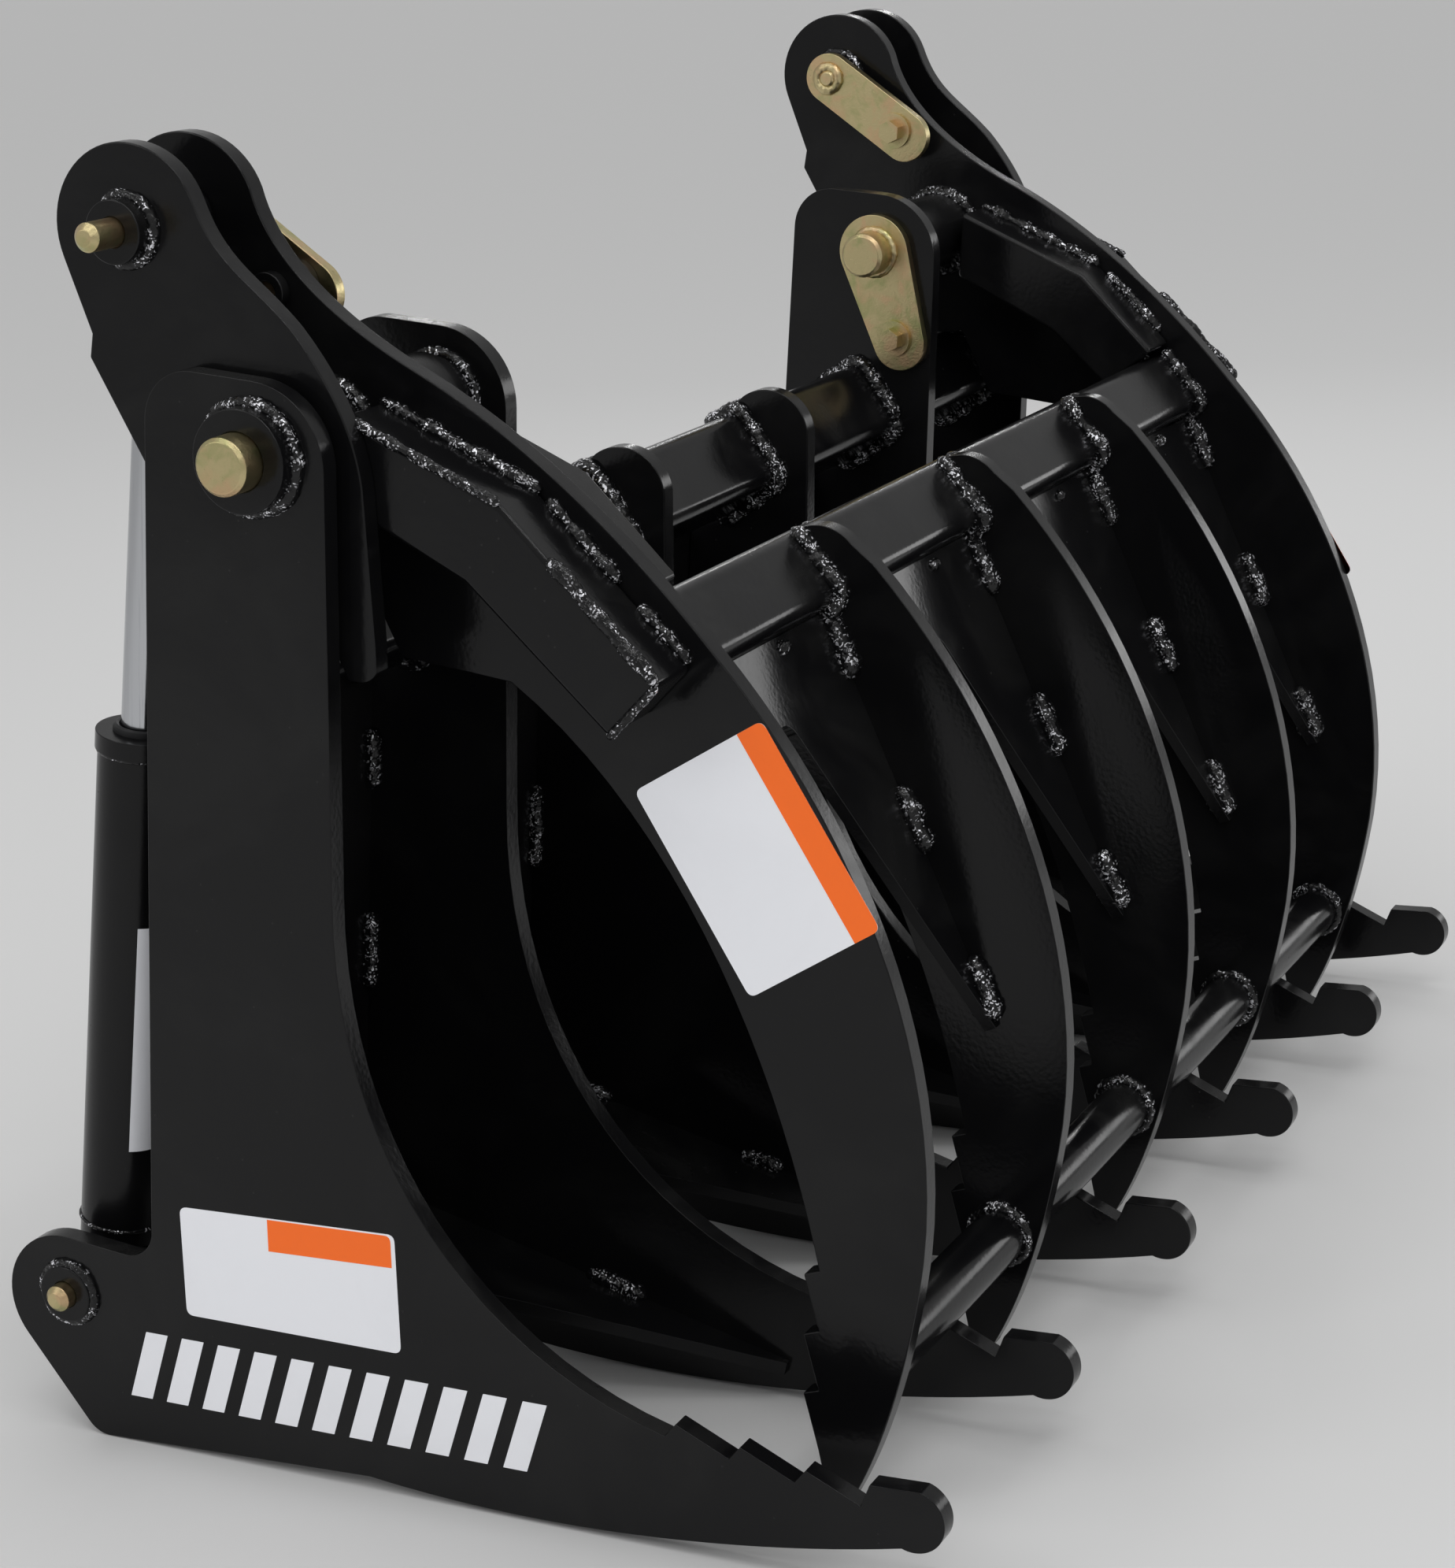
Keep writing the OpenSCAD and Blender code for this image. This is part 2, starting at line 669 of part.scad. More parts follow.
module upper_tube() {
    square_tube(upper_tube_c, upper_tube_w, upper_tube_turn, 2 * inner_face);
}

module lower_pipe() {
    color(black) ring(pipe_c, pipe_d / 2, pipe_d / 2 - pipe_wall, -inner_face, inner_face);
}

module apron() {
    color(black) difference() {
        translate([0, apron_top.x, apron_top.y]) rotate([apron_turn, 0, 0])
            translate([0, 0, -sheet_t]) linear_extrude(sheet_t) difference() {
                translate([-inner_face, -upper_tube_w]) square([2 * inner_face, apron_l + upper_tube_w]);
                for (i = [0:len(upper_places) - 2])
                    finger_gap(upper_places[i] - plate_t / 2 - finger_blunt,
                        upper_places[i + 1] + plate_t / 2 + finger_blunt, apron_apex, apron_l);
            }
        for (x = upper_places) slab(x) square([4 * reach, 4 * sole_drop], center = true);
        for (s = [-1, 1]) slab(s * (inner_face - inner_box_w / 2), inner_box_w) polygon(box_outline);
        // Everything above the tube's lower front face
        slab(0, overall_w) translate(upper_tube_c) rotate(upper_tube_turn)
            translate([-2 * upper_tube_w, -upper_tube_w / 2]) square([4 * upper_tube_w, 4 * upper_tube_w]);
    }
}

// Hollow box on one face of an outer tine, open toward the tine
module stiff_box(face, out, w) {
    x0 = min(face, face + out * w);
    pocket = out > 0 ? x0 - over : x0 + box_wall;
    color(black) difference() {
        slab(x0 + w / 2, w) polygon(box_outline);
        slab(pocket + (w - box_wall + over) / 2, w - box_wall + over) polygon(inset(box_outline, box_wall));
        children();
    }
}

module outer_box(side) {
    stiff_box(side * outer_face, side, ear_face - outer_face) {
        bar(pivot, hub_tube_r, -overall_w, overall_w);
    }
}

module inner_box(side) {
    stiff_box(side * inner_face, -side, inner_box_w) {
        bar(pivot, hub_tube_r, -overall_w, overall_w);
        // Everything beyond the tube's upper rear face
        slab(0, overall_w) translate(upper_tube_c) rotate(upper_tube_turn)
            translate([-reach / 2, upper_tube_w / 2 - reach]) square(reach);
    }
}

module hub_tube(side) {
    color(black) ring(pivot, hub_tube_r, pivot_d / 2 + fit,
        side * (side_x - plate_t / 2 - side_play), side * (tower_out + collar_t + side_play));
}

module rod_collars() {
    r = pin_d / 2 + small_ring;
    color(black) for (s = [-1, 1]) {
        ring(rod_pin, r, pin_d / 2 + fit, s * ear_out, s * (ear_out + collar_t));
        ring(rod_pin, r, pin_d / 2 + fit, s * inner_face, s * rod_in);
        ring(rod_bolt_at, bolt_d / 2 + small_ring, bolt_d / 2, s * inner_face, s * rod_in);
        ring(rod_bolt_at, bolt_d / 2 + nut_ring, bolt_d / 2, s * outer_face, s * (outer_face + nut_t));
    }
}

module rod_pin_node(side) {
    pin(rod_pin, pin_d / 2, taper, side * (ear_out + collar_t + rod_pin_out),
        side * (rod_in - keeper_t - thin_collar_t));
}

module rod_keepers() {
    for (s = [-1, 1]) keeper(rod_pin, pin_keeper_r, rod_pin + pin_keeper_r * rod_end_share, pin_keeper_r,
        pin_d / 2, rod_bolt_at, s * rod_in, s * (rod_in - keeper_t));
}

module rod_bolts() {
    for (s = [-1, 1]) flange_bolt(rod_bolt_at, s, s * (rod_in - keeper_t), s * (outer_face + bolt_d / 2));
}

// Cylinder pieces stand on the base pin's axis and lean forward with the line between the pins
module along_cylinder(side) {
    translate([side * cylinder_x, base_pin.x, base_pin.y]) rotate([-lean, 0, 0]) children();
}

module eye(z) {
    translate([-eye_w / 2, 0, z]) rotate([0, 90, 0]) cylinder(d = eye_d, h = eye_w);
}

module eye_hole(z) {
    translate([-eye_w / 2 - over, 0, z]) rotate([0, 90, 0])
        cylinder(r = pin_d / 2 + fit, h = eye_w + 2 * over);
}

module toward_port(side, z) {
    translate([0, 0, z]) rotate([0, -side * 90, side * port_turn]) children();
}

module barrel(side) {
    floor_z = barrel_start + cap_t;
    color(black) along_cylinder(side) difference() {
        translate([0, 0, barrel_start]) cylinder(d = barrel_d, h = barrel_end - gland_l - barrel_start);
        translate([0, 0, floor_z]) cylinder(d = bore_d, h = barrel_end);
        for (z = [port_low, port_high]) toward_port(side, z) {
            cylinder(r = port_r / 2, h = barrel_d);
            translate([0, 0, barrel_d / 2 - port_seat]) cylinder(r = port_r, h = barrel_d);
        }
    }
}

module base_eye(side) {
    color(black) along_cylinder(side) difference() {
        union() {
            eye(0);
            cylinder(d = neck_d, h = barrel_start);
        }
        eye_hole(0);
    }
}

module gland(side) {
    color(black) along_cylinder(side) difference() {
        union() {
            translate([0, 0, barrel_end - gland_l]) cylinder(d = barrel_d + 2 * gland_out, h = gland_l);
            translate([0, 0, barrel_end - gland_l - gland_in]) cylinder(d = bore_d, h = gland_in);
        }
        cylinder(r = rod_d / 2 + fit, h = 2 * barrel_end);
    }
}

module ports(side) {
    r = port_r + port_wall;
    color(black) along_cylinder(side) difference() {
        for (z = [port_low, port_high]) toward_port(side, z) cylinder(r = r, h = barrel_d / 2 + port_out);
        cylinder(d = barrel_d, h = 2 * barrel_end);
        for (z = [port_low, port_high]) toward_port(side, z) cylinder(r = port_r, h = barrel_d + port_out);
    }
}

piston_top = barrel_end - gland_l - gland_in - piston_stop;
module piston(side) {
    color(bright) along_cylinder(side) difference() {
        translate([0, 0, piston_top - piston_l]) cylinder(r = bore_d / 2 - fit, h = piston_l);
        translate([0, 0, piston_top - 2 * piston_l]) cylinder(d = rod_d / 2, h = 3 * piston_l);
    }
}

rod_end = rest_l - eye_d / 2 - neck_l - rod_gap;
module rod(side) {
    color(bright) along_cylinder(side) {
        translate([0, 0, piston_top]) cylinder(d = rod_d, h = rod_end - piston_top);
        translate([0, 0, piston_top - piston_l]) cylinder(d = rod_d / 2, h = piston_l);
    }
}

module rod_eye(side) {
    color(black) along_cylinder(side) difference() {
        union() {
            eye(rest_l);
            translate([0, 0, rod_end + rod_gap]) cylinder(d = neck_d, h = rest_l - rod_end - rod_gap);
        }
        eye_hole(rest_l);
    }
}

side_plate(RIGHT);  // side_plate_right
side_plate(LEFT);  // side_plate_left
tower_plate(RIGHT);  // tower_plate_right
tower_plate(LEFT);  // tower_plate_left
lower_tine(RIGHT);  // lower_tine_right
lower_tine(LEFT);  // lower_tine_left
back_sheet();
back_tube();
coupler_plate();
coupler_hook();
coupler_foot();
coupler_ribs();
base_lugs();
pivot_collars();
base_collars();
pivot_pin(RIGHT);  // pivot_pin_right
pivot_pin(LEFT);  // pivot_pin_left
pivot_keepers();
pivot_bolts();
base_pin_node(RIGHT);  // base_pin_right
base_pin_node(LEFT);  // base_pin_left
base_keepers();
base_bolts();
outer_tine(RIGHT);  // outer_tine_right
outer_tine(LEFT);  // outer_tine_left
ear(RIGHT);  // ear_right
ear(LEFT);  // ear_left
upper_tine(middle_step);  // upper_tine_right
upper_tine(0);  // upper_tine_middle
upper_tine(-middle_step);  // upper_tine_left
upper_tube();
lower_pipe();
apron();
outer_box(RIGHT);  // outer_box_right
outer_box(LEFT);  // outer_box_left
inner_box(RIGHT);  // inner_box_right
inner_box(LEFT);  // inner_box_left
hub_tube(RIGHT);  // hub_tube_right
hub_tube(LEFT);  // hub_tube_left
rod_collars();
rod_pin_node(RIGHT);  // rod_pin_right
rod_pin_node(LEFT);  // rod_pin_left
rod_keepers();
rod_bolts();
barrel(RIGHT);  // barrel_right
barrel(LEFT);  // barrel_left
base_eye(RIGHT);  // base_eye_right
base_eye(LEFT);  // base_eye_left
gland(RIGHT);  // gland_right
gland(LEFT);  // gland_left
ports(RIGHT);  // ports_right
ports(LEFT);  // ports_left
piston(RIGHT);  // piston_right
piston(LEFT);  // piston_left
rod(RIGHT);  // rod_right
rod(LEFT);  // rod_left
rod_eye(RIGHT);  // rod_eye_right
rod_eye(LEFT);  // rod_eye_left
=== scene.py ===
import json
import math

import bmesh
import bpy
import numpy as np
from bpy.props import BoolProperty, FloatProperty, FloatVectorProperty, PointerProperty
from mathutils import Matrix, Vector

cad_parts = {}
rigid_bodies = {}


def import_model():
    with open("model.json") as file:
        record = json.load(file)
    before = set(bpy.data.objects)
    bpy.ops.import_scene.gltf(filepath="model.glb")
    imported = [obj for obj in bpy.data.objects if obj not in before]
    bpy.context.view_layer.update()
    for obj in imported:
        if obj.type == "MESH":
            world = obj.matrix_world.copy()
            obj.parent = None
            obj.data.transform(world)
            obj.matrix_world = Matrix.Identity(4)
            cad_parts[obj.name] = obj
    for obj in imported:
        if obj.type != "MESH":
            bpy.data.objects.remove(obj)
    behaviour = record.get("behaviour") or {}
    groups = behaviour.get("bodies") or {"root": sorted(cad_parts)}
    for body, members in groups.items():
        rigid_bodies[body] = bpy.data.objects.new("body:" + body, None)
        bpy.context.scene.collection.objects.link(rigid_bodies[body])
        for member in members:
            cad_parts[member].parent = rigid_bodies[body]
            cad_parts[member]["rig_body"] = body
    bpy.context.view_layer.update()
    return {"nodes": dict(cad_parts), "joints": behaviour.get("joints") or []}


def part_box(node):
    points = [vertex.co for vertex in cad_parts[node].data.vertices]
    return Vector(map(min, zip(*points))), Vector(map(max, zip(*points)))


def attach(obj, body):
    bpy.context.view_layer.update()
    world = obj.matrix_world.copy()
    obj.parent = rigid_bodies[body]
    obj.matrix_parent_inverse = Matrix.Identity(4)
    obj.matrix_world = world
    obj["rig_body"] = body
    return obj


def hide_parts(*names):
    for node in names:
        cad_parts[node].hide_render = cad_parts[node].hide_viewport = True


bl_info = {
    "name": "Claw Grapple Finish",
    "version": (1, 0, 0),
    "blender": (4, 5, 0),
    "location": "3D View > Sidebar > Grapple",
    "description": "Paint, plating, weld beads and plain panels for a claw grapple, and a studio round it",
    "category": "Object",
}

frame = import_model()
NODES = frame["nodes"]
JOINTS = {joint["name"]: joint for joint in frame["joints"]}
SIDES = (("right", 1), ("left", -1))


def axis_of(joint):
    """Depth and height of a joint's axis, in metres."""
    return np.array(JOINTS[joint]["pos_m"][1:])


def faces_of(node):
    """Where the outboard and the inboard face of a plate on the right side lie along X."""
    low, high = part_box(node)
    return high.x, low.x


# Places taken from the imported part
PIVOT = axis_of("jaw_hinge")
ROD_PIN = axis_of("rod_eye_turn_right")
BASE_PIN = axis_of("barrel_swing_right")
LEAN = ROD_PIN - BASE_PIN
REST_LENGTH = float(np.linalg.norm(LEAN))
LEAN = LEAN / REST_LENGTH
CYLINDER_X = JOINTS["barrel_swing_right"]["pos_m"][0]
SIDE_OUT, SIDE_IN = faces_of("side_plate_right")
TOWER_OUT, TOWER_IN = faces_of("tower_plate_right")
INNER_OUT, INNER_IN = faces_of("lower_tine_right")
OUTER_OUT, OUTER_IN = faces_of("outer_tine_right")
EAR_OUT, EAR_IN = faces_of("ear_right")
MIDDLE_OUT, MIDDLE_IN = faces_of("upper_tine_right")
HALF_PLATE = faces_of("upper_tine_middle")[0]
LUG_OUT = max(v.co.x for v in NODES["base_lugs"].data.vertices)
LUG_IN = LUG_OUT - 2 * HALF_PLATE
BOX_OUT = faces_of("outer_box_right")[0]

# The bent back sheet, the apron, the boxes, the tubes and the pipe, seen along X
SHEET_Y = 0.027
SHEET_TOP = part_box("back_sheet")[1].z
SHEET_T = 0.008
SHEET_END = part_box("back_sheet")[1].y
BEND = np.array((0.072, -0.15625))
BEND_R = 0.045
SLOPE = math.radians(8.5)
APRON_TOP = np.array((0.2777, 0.1957))
APRON_TURN = math.radians(-61.3)
APRON_LENGTH = 0.266
BOX_CORNERS = np.array((
    (0.102, 0.332), (0.201, 0.298), (0.296, 0.217), (0.269, 0.184), (0.180, 0.253), (0.102, 0.284),
    (0.102, 0.332)))
COUPLER_EDGE = np.array(((0.0095, -0.110), (0.0095, 0.110)))
LUG_EDGE = np.array(((SHEET_Y - SHEET_T, -0.118), (SHEET_Y - SHEET_T, -0.156)))
BACK_TUBE = np.array((0.0552, 0.1872))
BACK_TUBE_W = 0.057
BACK_TUBE_TURN = 40
UPPER_TUBE = np.array((0.2530, 0.2070))
UPPER_TUBE_W = 0.0508
UPPER_TUBE_TURN = 45
PIPE_LOW, PIPE_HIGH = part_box("lower_pipe")
PIPE = np.array((PIPE_LOW.y + PIPE_HIGH.y, PIPE_LOW.z + PIPE_HIGH.z)) / 2
PIPE_R = (PIPE_HIGH.z - PIPE_LOW.z) / 2

# Radii of the round pieces that beads run round, how deep the ports' rings sit, and the keepers' thickness
PIVOT_PIN_R = 0.0159
PIN_STUB_R = 0.008
KEEPER_T = 0.008
PIVOT_COLLAR_R = 0.0284
TOWER_COLLAR_R = 0.0244
HUB_R = 0.0279
PIN_COLLAR_R = 0.0175
BARREL_R = 0.0254
ROD_EYE_NECK_R = 0.0160
PORT_R = 0.0115
PORT_SINK = 0.0003

# Distances along a cylinder from its base pin
BARREL_BEAD = 0.0305
GLAND_BEAD = 0.329
PORTS = (0.072, 0.292)
# The ports' turn from straight inboard, and how far before the rod pin its eye's bead runs
PORT_TURN = math.radians(15)
EYE_REACH = 0.0195
# Radii and distances of the wiper's section
WIPER = ((0.0129, 0.3385), (0.0129, 0.3418), (0.0138, 0.3436), (0.0152, 0.3440), (0.0166, 0.3432),
         (0.0172, 0.3416), (0.0172, 0.3385))

# Where the stitches of weld lie, as shares of the seam
WHOLE = ((0.0, 1.0),)
TOWER_STITCHES = ((0.055, 0.118), (0.25, 0.332), (0.452, 0.484), (0.534, 0.562), (0.789, 0.858))
TINE_STITCHES = ((0.212, 0.307), (0.575, 0.633), (0.798, 0.848))
REAR_STITCHES = ((0.06, 0.15), (0.30, 0.39), (0.52, 0.60), (0.74, 0.82))
COUPLER_STITCHES = ((0.0, 0.22), (0.39, 0.61), (0.78, 1.0))
APRON_STITCHES = ((0.01, 0.16), (0.42, 0.58), (0.83, 0.985))
UNDER_STITCHES = ((0.05, 0.2), (0.45, 0.6), (0.82, 0.97))
OUTER_BOX_STITCHES = ((0.0, 0.205), (0.215, 0.33), (0.36, 0.44), (0.53, 0.80))
INNER_BOX_STITCHES = ((0.0, 0.20), (0.215, 0.33))
TUBE_REAR_STITCH = ((0.0, 0.35),)
# How far a bead swells and shrinks along its way, as a share of its radius
EVEN, LUMPY, UNEVEN, ROUGH = 0.02, 0.07, 0.13, 0.14
# Radii of the groups of beads that don't follow the user's own
PIN_BEAD, BACK_TUBE_BEAD, COUPLER_BEAD, NECK_BEAD = 0.0030, 0.0066, 0.0040, 0.0028
APRON_BEAD, UPPER_TUBE_BEAD, BOX_BEAD, FINE_BEAD = 0.0073, 0.0060, 0.0044, 0.0012
PORT_BEAD, SMALL_BEAD, TUBE_REAR_BEAD, PIPE_BEAD, STUB_BEAD = 0.0026, 0.0040, 0.0050, 0.0042, 0.0034
# The tacks under the upper tube: where each starts and stops in its bay, its drop, its swell, and its points
TACK_START, TACK_STOP, TACK_DROP, TACK_SWELL, TACK_POINTS = 0.064, 0.076, 0.007, 0.12, 12
# Angles in degrees between which beads run round the tubes, and the sheet's length past its seams' end
TOWER_ARC, TINE_ARC, FRONT_ARC, REAR_ARC = (0, 360), (-100, 130), (-90, 89), (105, 270)
SEAM_SPARE = 0.012

# Rings round bosses: the plate's face, the way it faces, the pin, the boss's radius and the bead's, if its own
LOWER_RINGS = (
    (SIDE_OUT, 1, PIVOT, PIVOT_COLLAR_R, 0.0046), (TOWER_OUT, 1, PIVOT, TOWER_COLLAR_R, 0.0042),
    (SIDE_OUT, 1, BASE_PIN, PIN_COLLAR_R, 0.0034), (SIDE_IN, -1, BASE_PIN, PIN_COLLAR_R, 0.0030),
    (LUG_OUT, 1, BASE_PIN, PIN_COLLAR_R, 0.0030))
UPPER_RINGS = (
    (EAR_OUT, 1, ROD_PIN, PIN_COLLAR_R, 0.0040), (OUTER_IN, -1, ROD_PIN, PIN_COLLAR_R, 0.0036),
    (OUTER_OUT, 1, PIVOT, HUB_R, None), (OUTER_IN, -1, PIVOT, HUB_R, None), (EAR_IN, -1, PIVOT, HUB_R, None))
# Seams along the boxes: the path, the plane, the way it faces, the stitches, the bead's radius, and its swell
BOX_SEAMS = (
    (BOX_CORNERS, OUTER_OUT, 1, OUTER_BOX_STITCHES, None, ROUGH),
    (BOX_CORNERS[:2], BOX_OUT, -1, ((0.0, 0.99),), 0.0030, 0.10),
    (BOX_CORNERS, OUTER_IN, -1, INNER_BOX_STITCHES, None, ROUGH),
    (BOX_CORNERS[1:3], BOX_OUT, -1, ((0.30, 1.0),), 0.0040, ROUGH),
    (BOX_CORNERS[2:4], BOX_OUT, -1, WHOLE, 0.0026, LUMPY))

# Depths and heights of the plain panels' corners, and their rounding and its least size
TINE_PANEL = ((0.3380, 0.1955), (0.4130, 0.0940), (0.3400, 0.0390), (0.2650, 0.1420))
TINE_BAND = ((0.3380, 0.1955), (0.4130, 0.0940), (0.3990, 0.0835), (0.3240, 0.1852))
SIDE_PANEL = ((0.0200, -0.1380), (0.1640, -0.1180), (0.1700, -0.1905), (0.0250, -0.2060))
SIDE_BLOCK = ((0.0800, -0.1305), (0.1615, -0.1193), (0.1630, -0.1385), (0.0812, -0.1500))
SOFT, LEAST_SOFT = 0.005, 0.0002
FILM_T = 0.0003
SECOND_FILM_T = 0.00045
PLATE_GAP, BARREL_GAP = 0.00002, 0.00003
# The barrels' patches: angles from straight outboard in degrees, and distances from the base pin
PATCH_TURN, PATCH_REACH = (38, 118), (0.084, 0.227)
# The row of leaning bars: the tops of its ends, the way down a bar, its lean, and its share of the spacing
BARS = 11
BAR_START, BAR_STOP = np.array((-0.016, -0.2255)), np.array((0.262, -0.1945))
BAR_DROP, BAR_LEAN = np.array((0.001, -0.0447)), np.array((0.012, 0.0))
BAR_SHARE = 0.60

# The floor's slope and its height under the jaw, the lamps' places and sizes, and the camera
FLOOR_REACH = 20.0
FLOOR_SLOPE = 0.1085
FLOOR_DEPTH, FLOOR_HEIGHT = -0.033, -0.3029
LAMP_TARGET = Vector((0.0, 0.15, 0.05))
STRIP_SIZE = (1.5, 0.035)
STRIPS = ((1.5, 0.2, 2.5), (0.2, 1.5, 2.6), (0.5, 1.1, 2.9), (-0.9, 0.5, 2.8), (0.6, -1.2, 2.5),
          (2.3, 1.6, 1.9), (-2.6, -1.0, 1.1))
CAMERA_PLACE = (1.9460, 1.0378, 0.7289)
CAMERA_ANGLES = (-154.59, -18.88, -2.91)

VORONOI = "ShaderNodeTexVoronoi"
VECTOR_MATH = "ShaderNodeVectorMath"

# The CAD nodes that are zinc plated, and those that are painted with the jaws
PLATED = [f"{pin}_{piece}" for pin in ("pivot", "base", "rod")
          for piece in ("pin_right", "pin_left", "keepers", "bolts")]
PAINTED = [node for node, solid in NODES.items() if solid["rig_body"].endswith("_jaw") and node not in PLATED]
# Rounder edges than a cut plate's, on folded pieces
EDGES = {"back_sheet": 0.0016, "apron": 0.0016, **{node: 0.0040 for node in NODES if "_box_" in node}}
ROD_EDGE = 0.0012
CYLINDER_BLACK = ("barrel", "base_eye", "gland", "ports", "rod_eye")


def colour_of(name, description, value):
    """A colour that a user may change."""
    return FloatVectorProperty(
        name=name, description=description, subtype="COLOR", default=value, min=0.0, max=1.0)


def power_of(name, description, value):
    """A lamp's power that a user may change."""
    return FloatProperty(name=name, description=description, default=value, min=0.0, unit="POWER")


class GrappleFinish(bpy.types.PropertyGroup):
    """Sizes and colours of the finish"""

    edge_ease: FloatProperty(
        name="Eased edge", description="Width of the rounding on the edges of plates and tubes",
        default=0.0009, min=0.0002, max=0.002, unit="LENGTH")
    pin_ease: FloatProperty(
        name="Eased pin edge", description="Width of the rounding on pins, keepers and bolts",
        default=0.0005, min=0.0002, max=0.001, unit="LENGTH")
    bead_radius: FloatProperty(
        name="Bead radius", description="Radius of the weld beads between plates",
        default=0.0056, min=0.002, max=0.008, unit="LENGTH")
    ripple_pitch: FloatProperty(
        name="Ripple pitch", description="Spacing of the ripples along a weld bead",
        default=0.0050, min=0.002, max=0.01, unit="LENGTH")
    paint: colour_of("Paint", "Colour of the gloss paint", (0.0036, 0.0036, 0.0040))
    dust: colour_of("Dust", "Colour of the thin dust on the paint", (0.018, 0.018, 0.0175))
    plating: colour_of("Plating", "Main colour of the yellow zinc plate", (0.57, 0.48, 0.26))
    amber: colour_of("Amber", "Colour of the amber bands on the plain panels", (1.0, 0.155, 0.004))
    white: colour_of("White", "Colour of the plain white panels", (0.85, 0.86, 0.90))
    panels: BoolProperty(name="Plain panels", description="Put the plain panels on both sides", default=True)


class GrappleStage(bpy.types.PropertyGroup):
    """Light, floor and camera"""

    floor_colour: colour_of("Floor", "Colour of the floor", (0.60, 0.60, 0.60))
    backdrop: colour_of("Backdrop", "Colour of the background", (0.46, 0.46, 0.46))
    fill: FloatProperty(
        name="Fill", description="Strength of the even light from all round", default=0.78, min=0.0, max=2.0)
    overhead: power_of("Overhead lamp", "Power of the wide lamp above", 8.0)
    strips: power_of("Strip lamps", "Power of each narrow lamp", 4.5)
    side_lamp: power_of("Side lamp", "Power of the tall lamp beside the camera", 9.0)
    front_lamp: power_of("Front lamp", "Power of the low wide lamp that lights the rims of the tines", 12.0)
    lens: FloatProperty(
        name="Lens", description="Focal length on a 36 mm frame", default=76.79, min=20.0, max=200.0)


def mesh_object(name, vertices, quads, triangles=None):
    """A new mesh object from whole arrays of corners and faces, smooth, with its place in its mesh."""
    triangles = np.zeros((0, 3), int) if triangles is None else triangles
    mesh = bpy.data.meshes.new(name)
    mesh.vertices.add(len(vertices))
    mesh.vertices.foreach_set("co", np.asarray(vertices, np.float32).ravel())
    loops = np.concatenate([quads.ravel(), triangles.ravel()]).astype(np.int32)
    mesh.loops.add(len(loops))
    mesh.loops.foreach_set("vertex_index", loops)
    starts = np.concatenate([4 * np.arange(len(quads)), 4 * len(quads) + 3 * np.arange(len(triangles))])
    mesh.polygons.add(len(starts))
    mesh.polygons.foreach_set("loop_start", starts.astype(np.int32))
    mesh.polygons.foreach_set("use_smooth", np.ones(len(starts), bool))
    mesh.update(calc_edges=True)
    mesh.validate()
    made = bpy.data.objects.new(name, mesh)
    bpy.context.scene.collection.objects.link(made)
    return made


def dressed(made, material, body, sharp=None):
    """Gives a new piece its material and its body, and sharp edges above an angle in degrees."""
    made.data.materials.append(material)
    if sharp:
        made.data.set_sharp_from_angle(angle=math.radians(sharp))
    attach(made, body)
    return made


def resample(path, start, stop, step):
    """Points evenly spaced along a path between two shares of its length."""
    far = np.concatenate([[0.0], np.cumsum(np.linalg.norm(np.diff(path, axis=0), axis=1))])
    count = max(6, int(round((stop - start) * far[-1] / step)))
    want = np.linspace(start, stop, count) * far[-1]
    return np.stack([np.interp(want, far, path[:, k]) for k in range(path.shape[1])], axis=1)


def arc(centre, radius, start, stop, count):
    """Points on a circle: its centre plus its radius times the cosine and sine of even angles in degrees."""
    angle = np.radians(np.linspace(start, stop, count))
    return np.asarray(centre) + radius * np.stack([np.cos(angle), np.sin(angle)], axis=1)


def rounded_square(centre, width, turn, start, stop, count=160, power=8.0):
    """Outline of a square tube with rounded corners, between two angles in degrees. In each direction it is the
    point where the powers of its two coordinates, each over half the width, add up to one. The whole is turned
    about the centre."""
    ray = arc((0.0, 0.0), 1.0, start - turn, stop - turn, count)
    reach = (np.abs(ray[:, 0]) ** power + np.abs(ray[:, 1]) ** power) ** (-1 / power)
    flat = ray * (reach * width / 2)[:, None]
    spin = math.radians(turn)
    turned = np.array(((math.cos(spin), -math.sin(spin)), (math.sin(spin), math.cos(spin))))
    return np.asarray(centre) + flat @ turned.T


def tube_faces(rows, around, closed):
    """Numbers of a tube's corners, section by section, and the faces between neighbouring sections, with those
    from the last section back to the first if the tube is closed."""
    index = np.arange(rows * around).reshape(rows, around)
    ends = np.vstack([index, index[:1]]) if closed else index
    ahead = np.roll(ends, -1, 1)
    return index, np.stack([ends[:-1], ahead[:-1], ahead[1:], ends[1:]], -1).reshape(-1, 4)


def faces_inwards(vertices, quads, centres):
    """Whether a tube is inside out: its faces' normals, each times the way to the face from its section's
    centre, add up to less than zero."""
    corner = vertices[quads]
    face = np.cross(corner[:, 2] - corner[:, 0], corner[:, 3] - corner[:, 1])
    spokes = corner.mean(1).reshape(len(centres), -1, 3) - centres[:, None, :]
    return np.einsum("nmi,nmi->", spokes, face.reshape(spokes.shape)) < 0


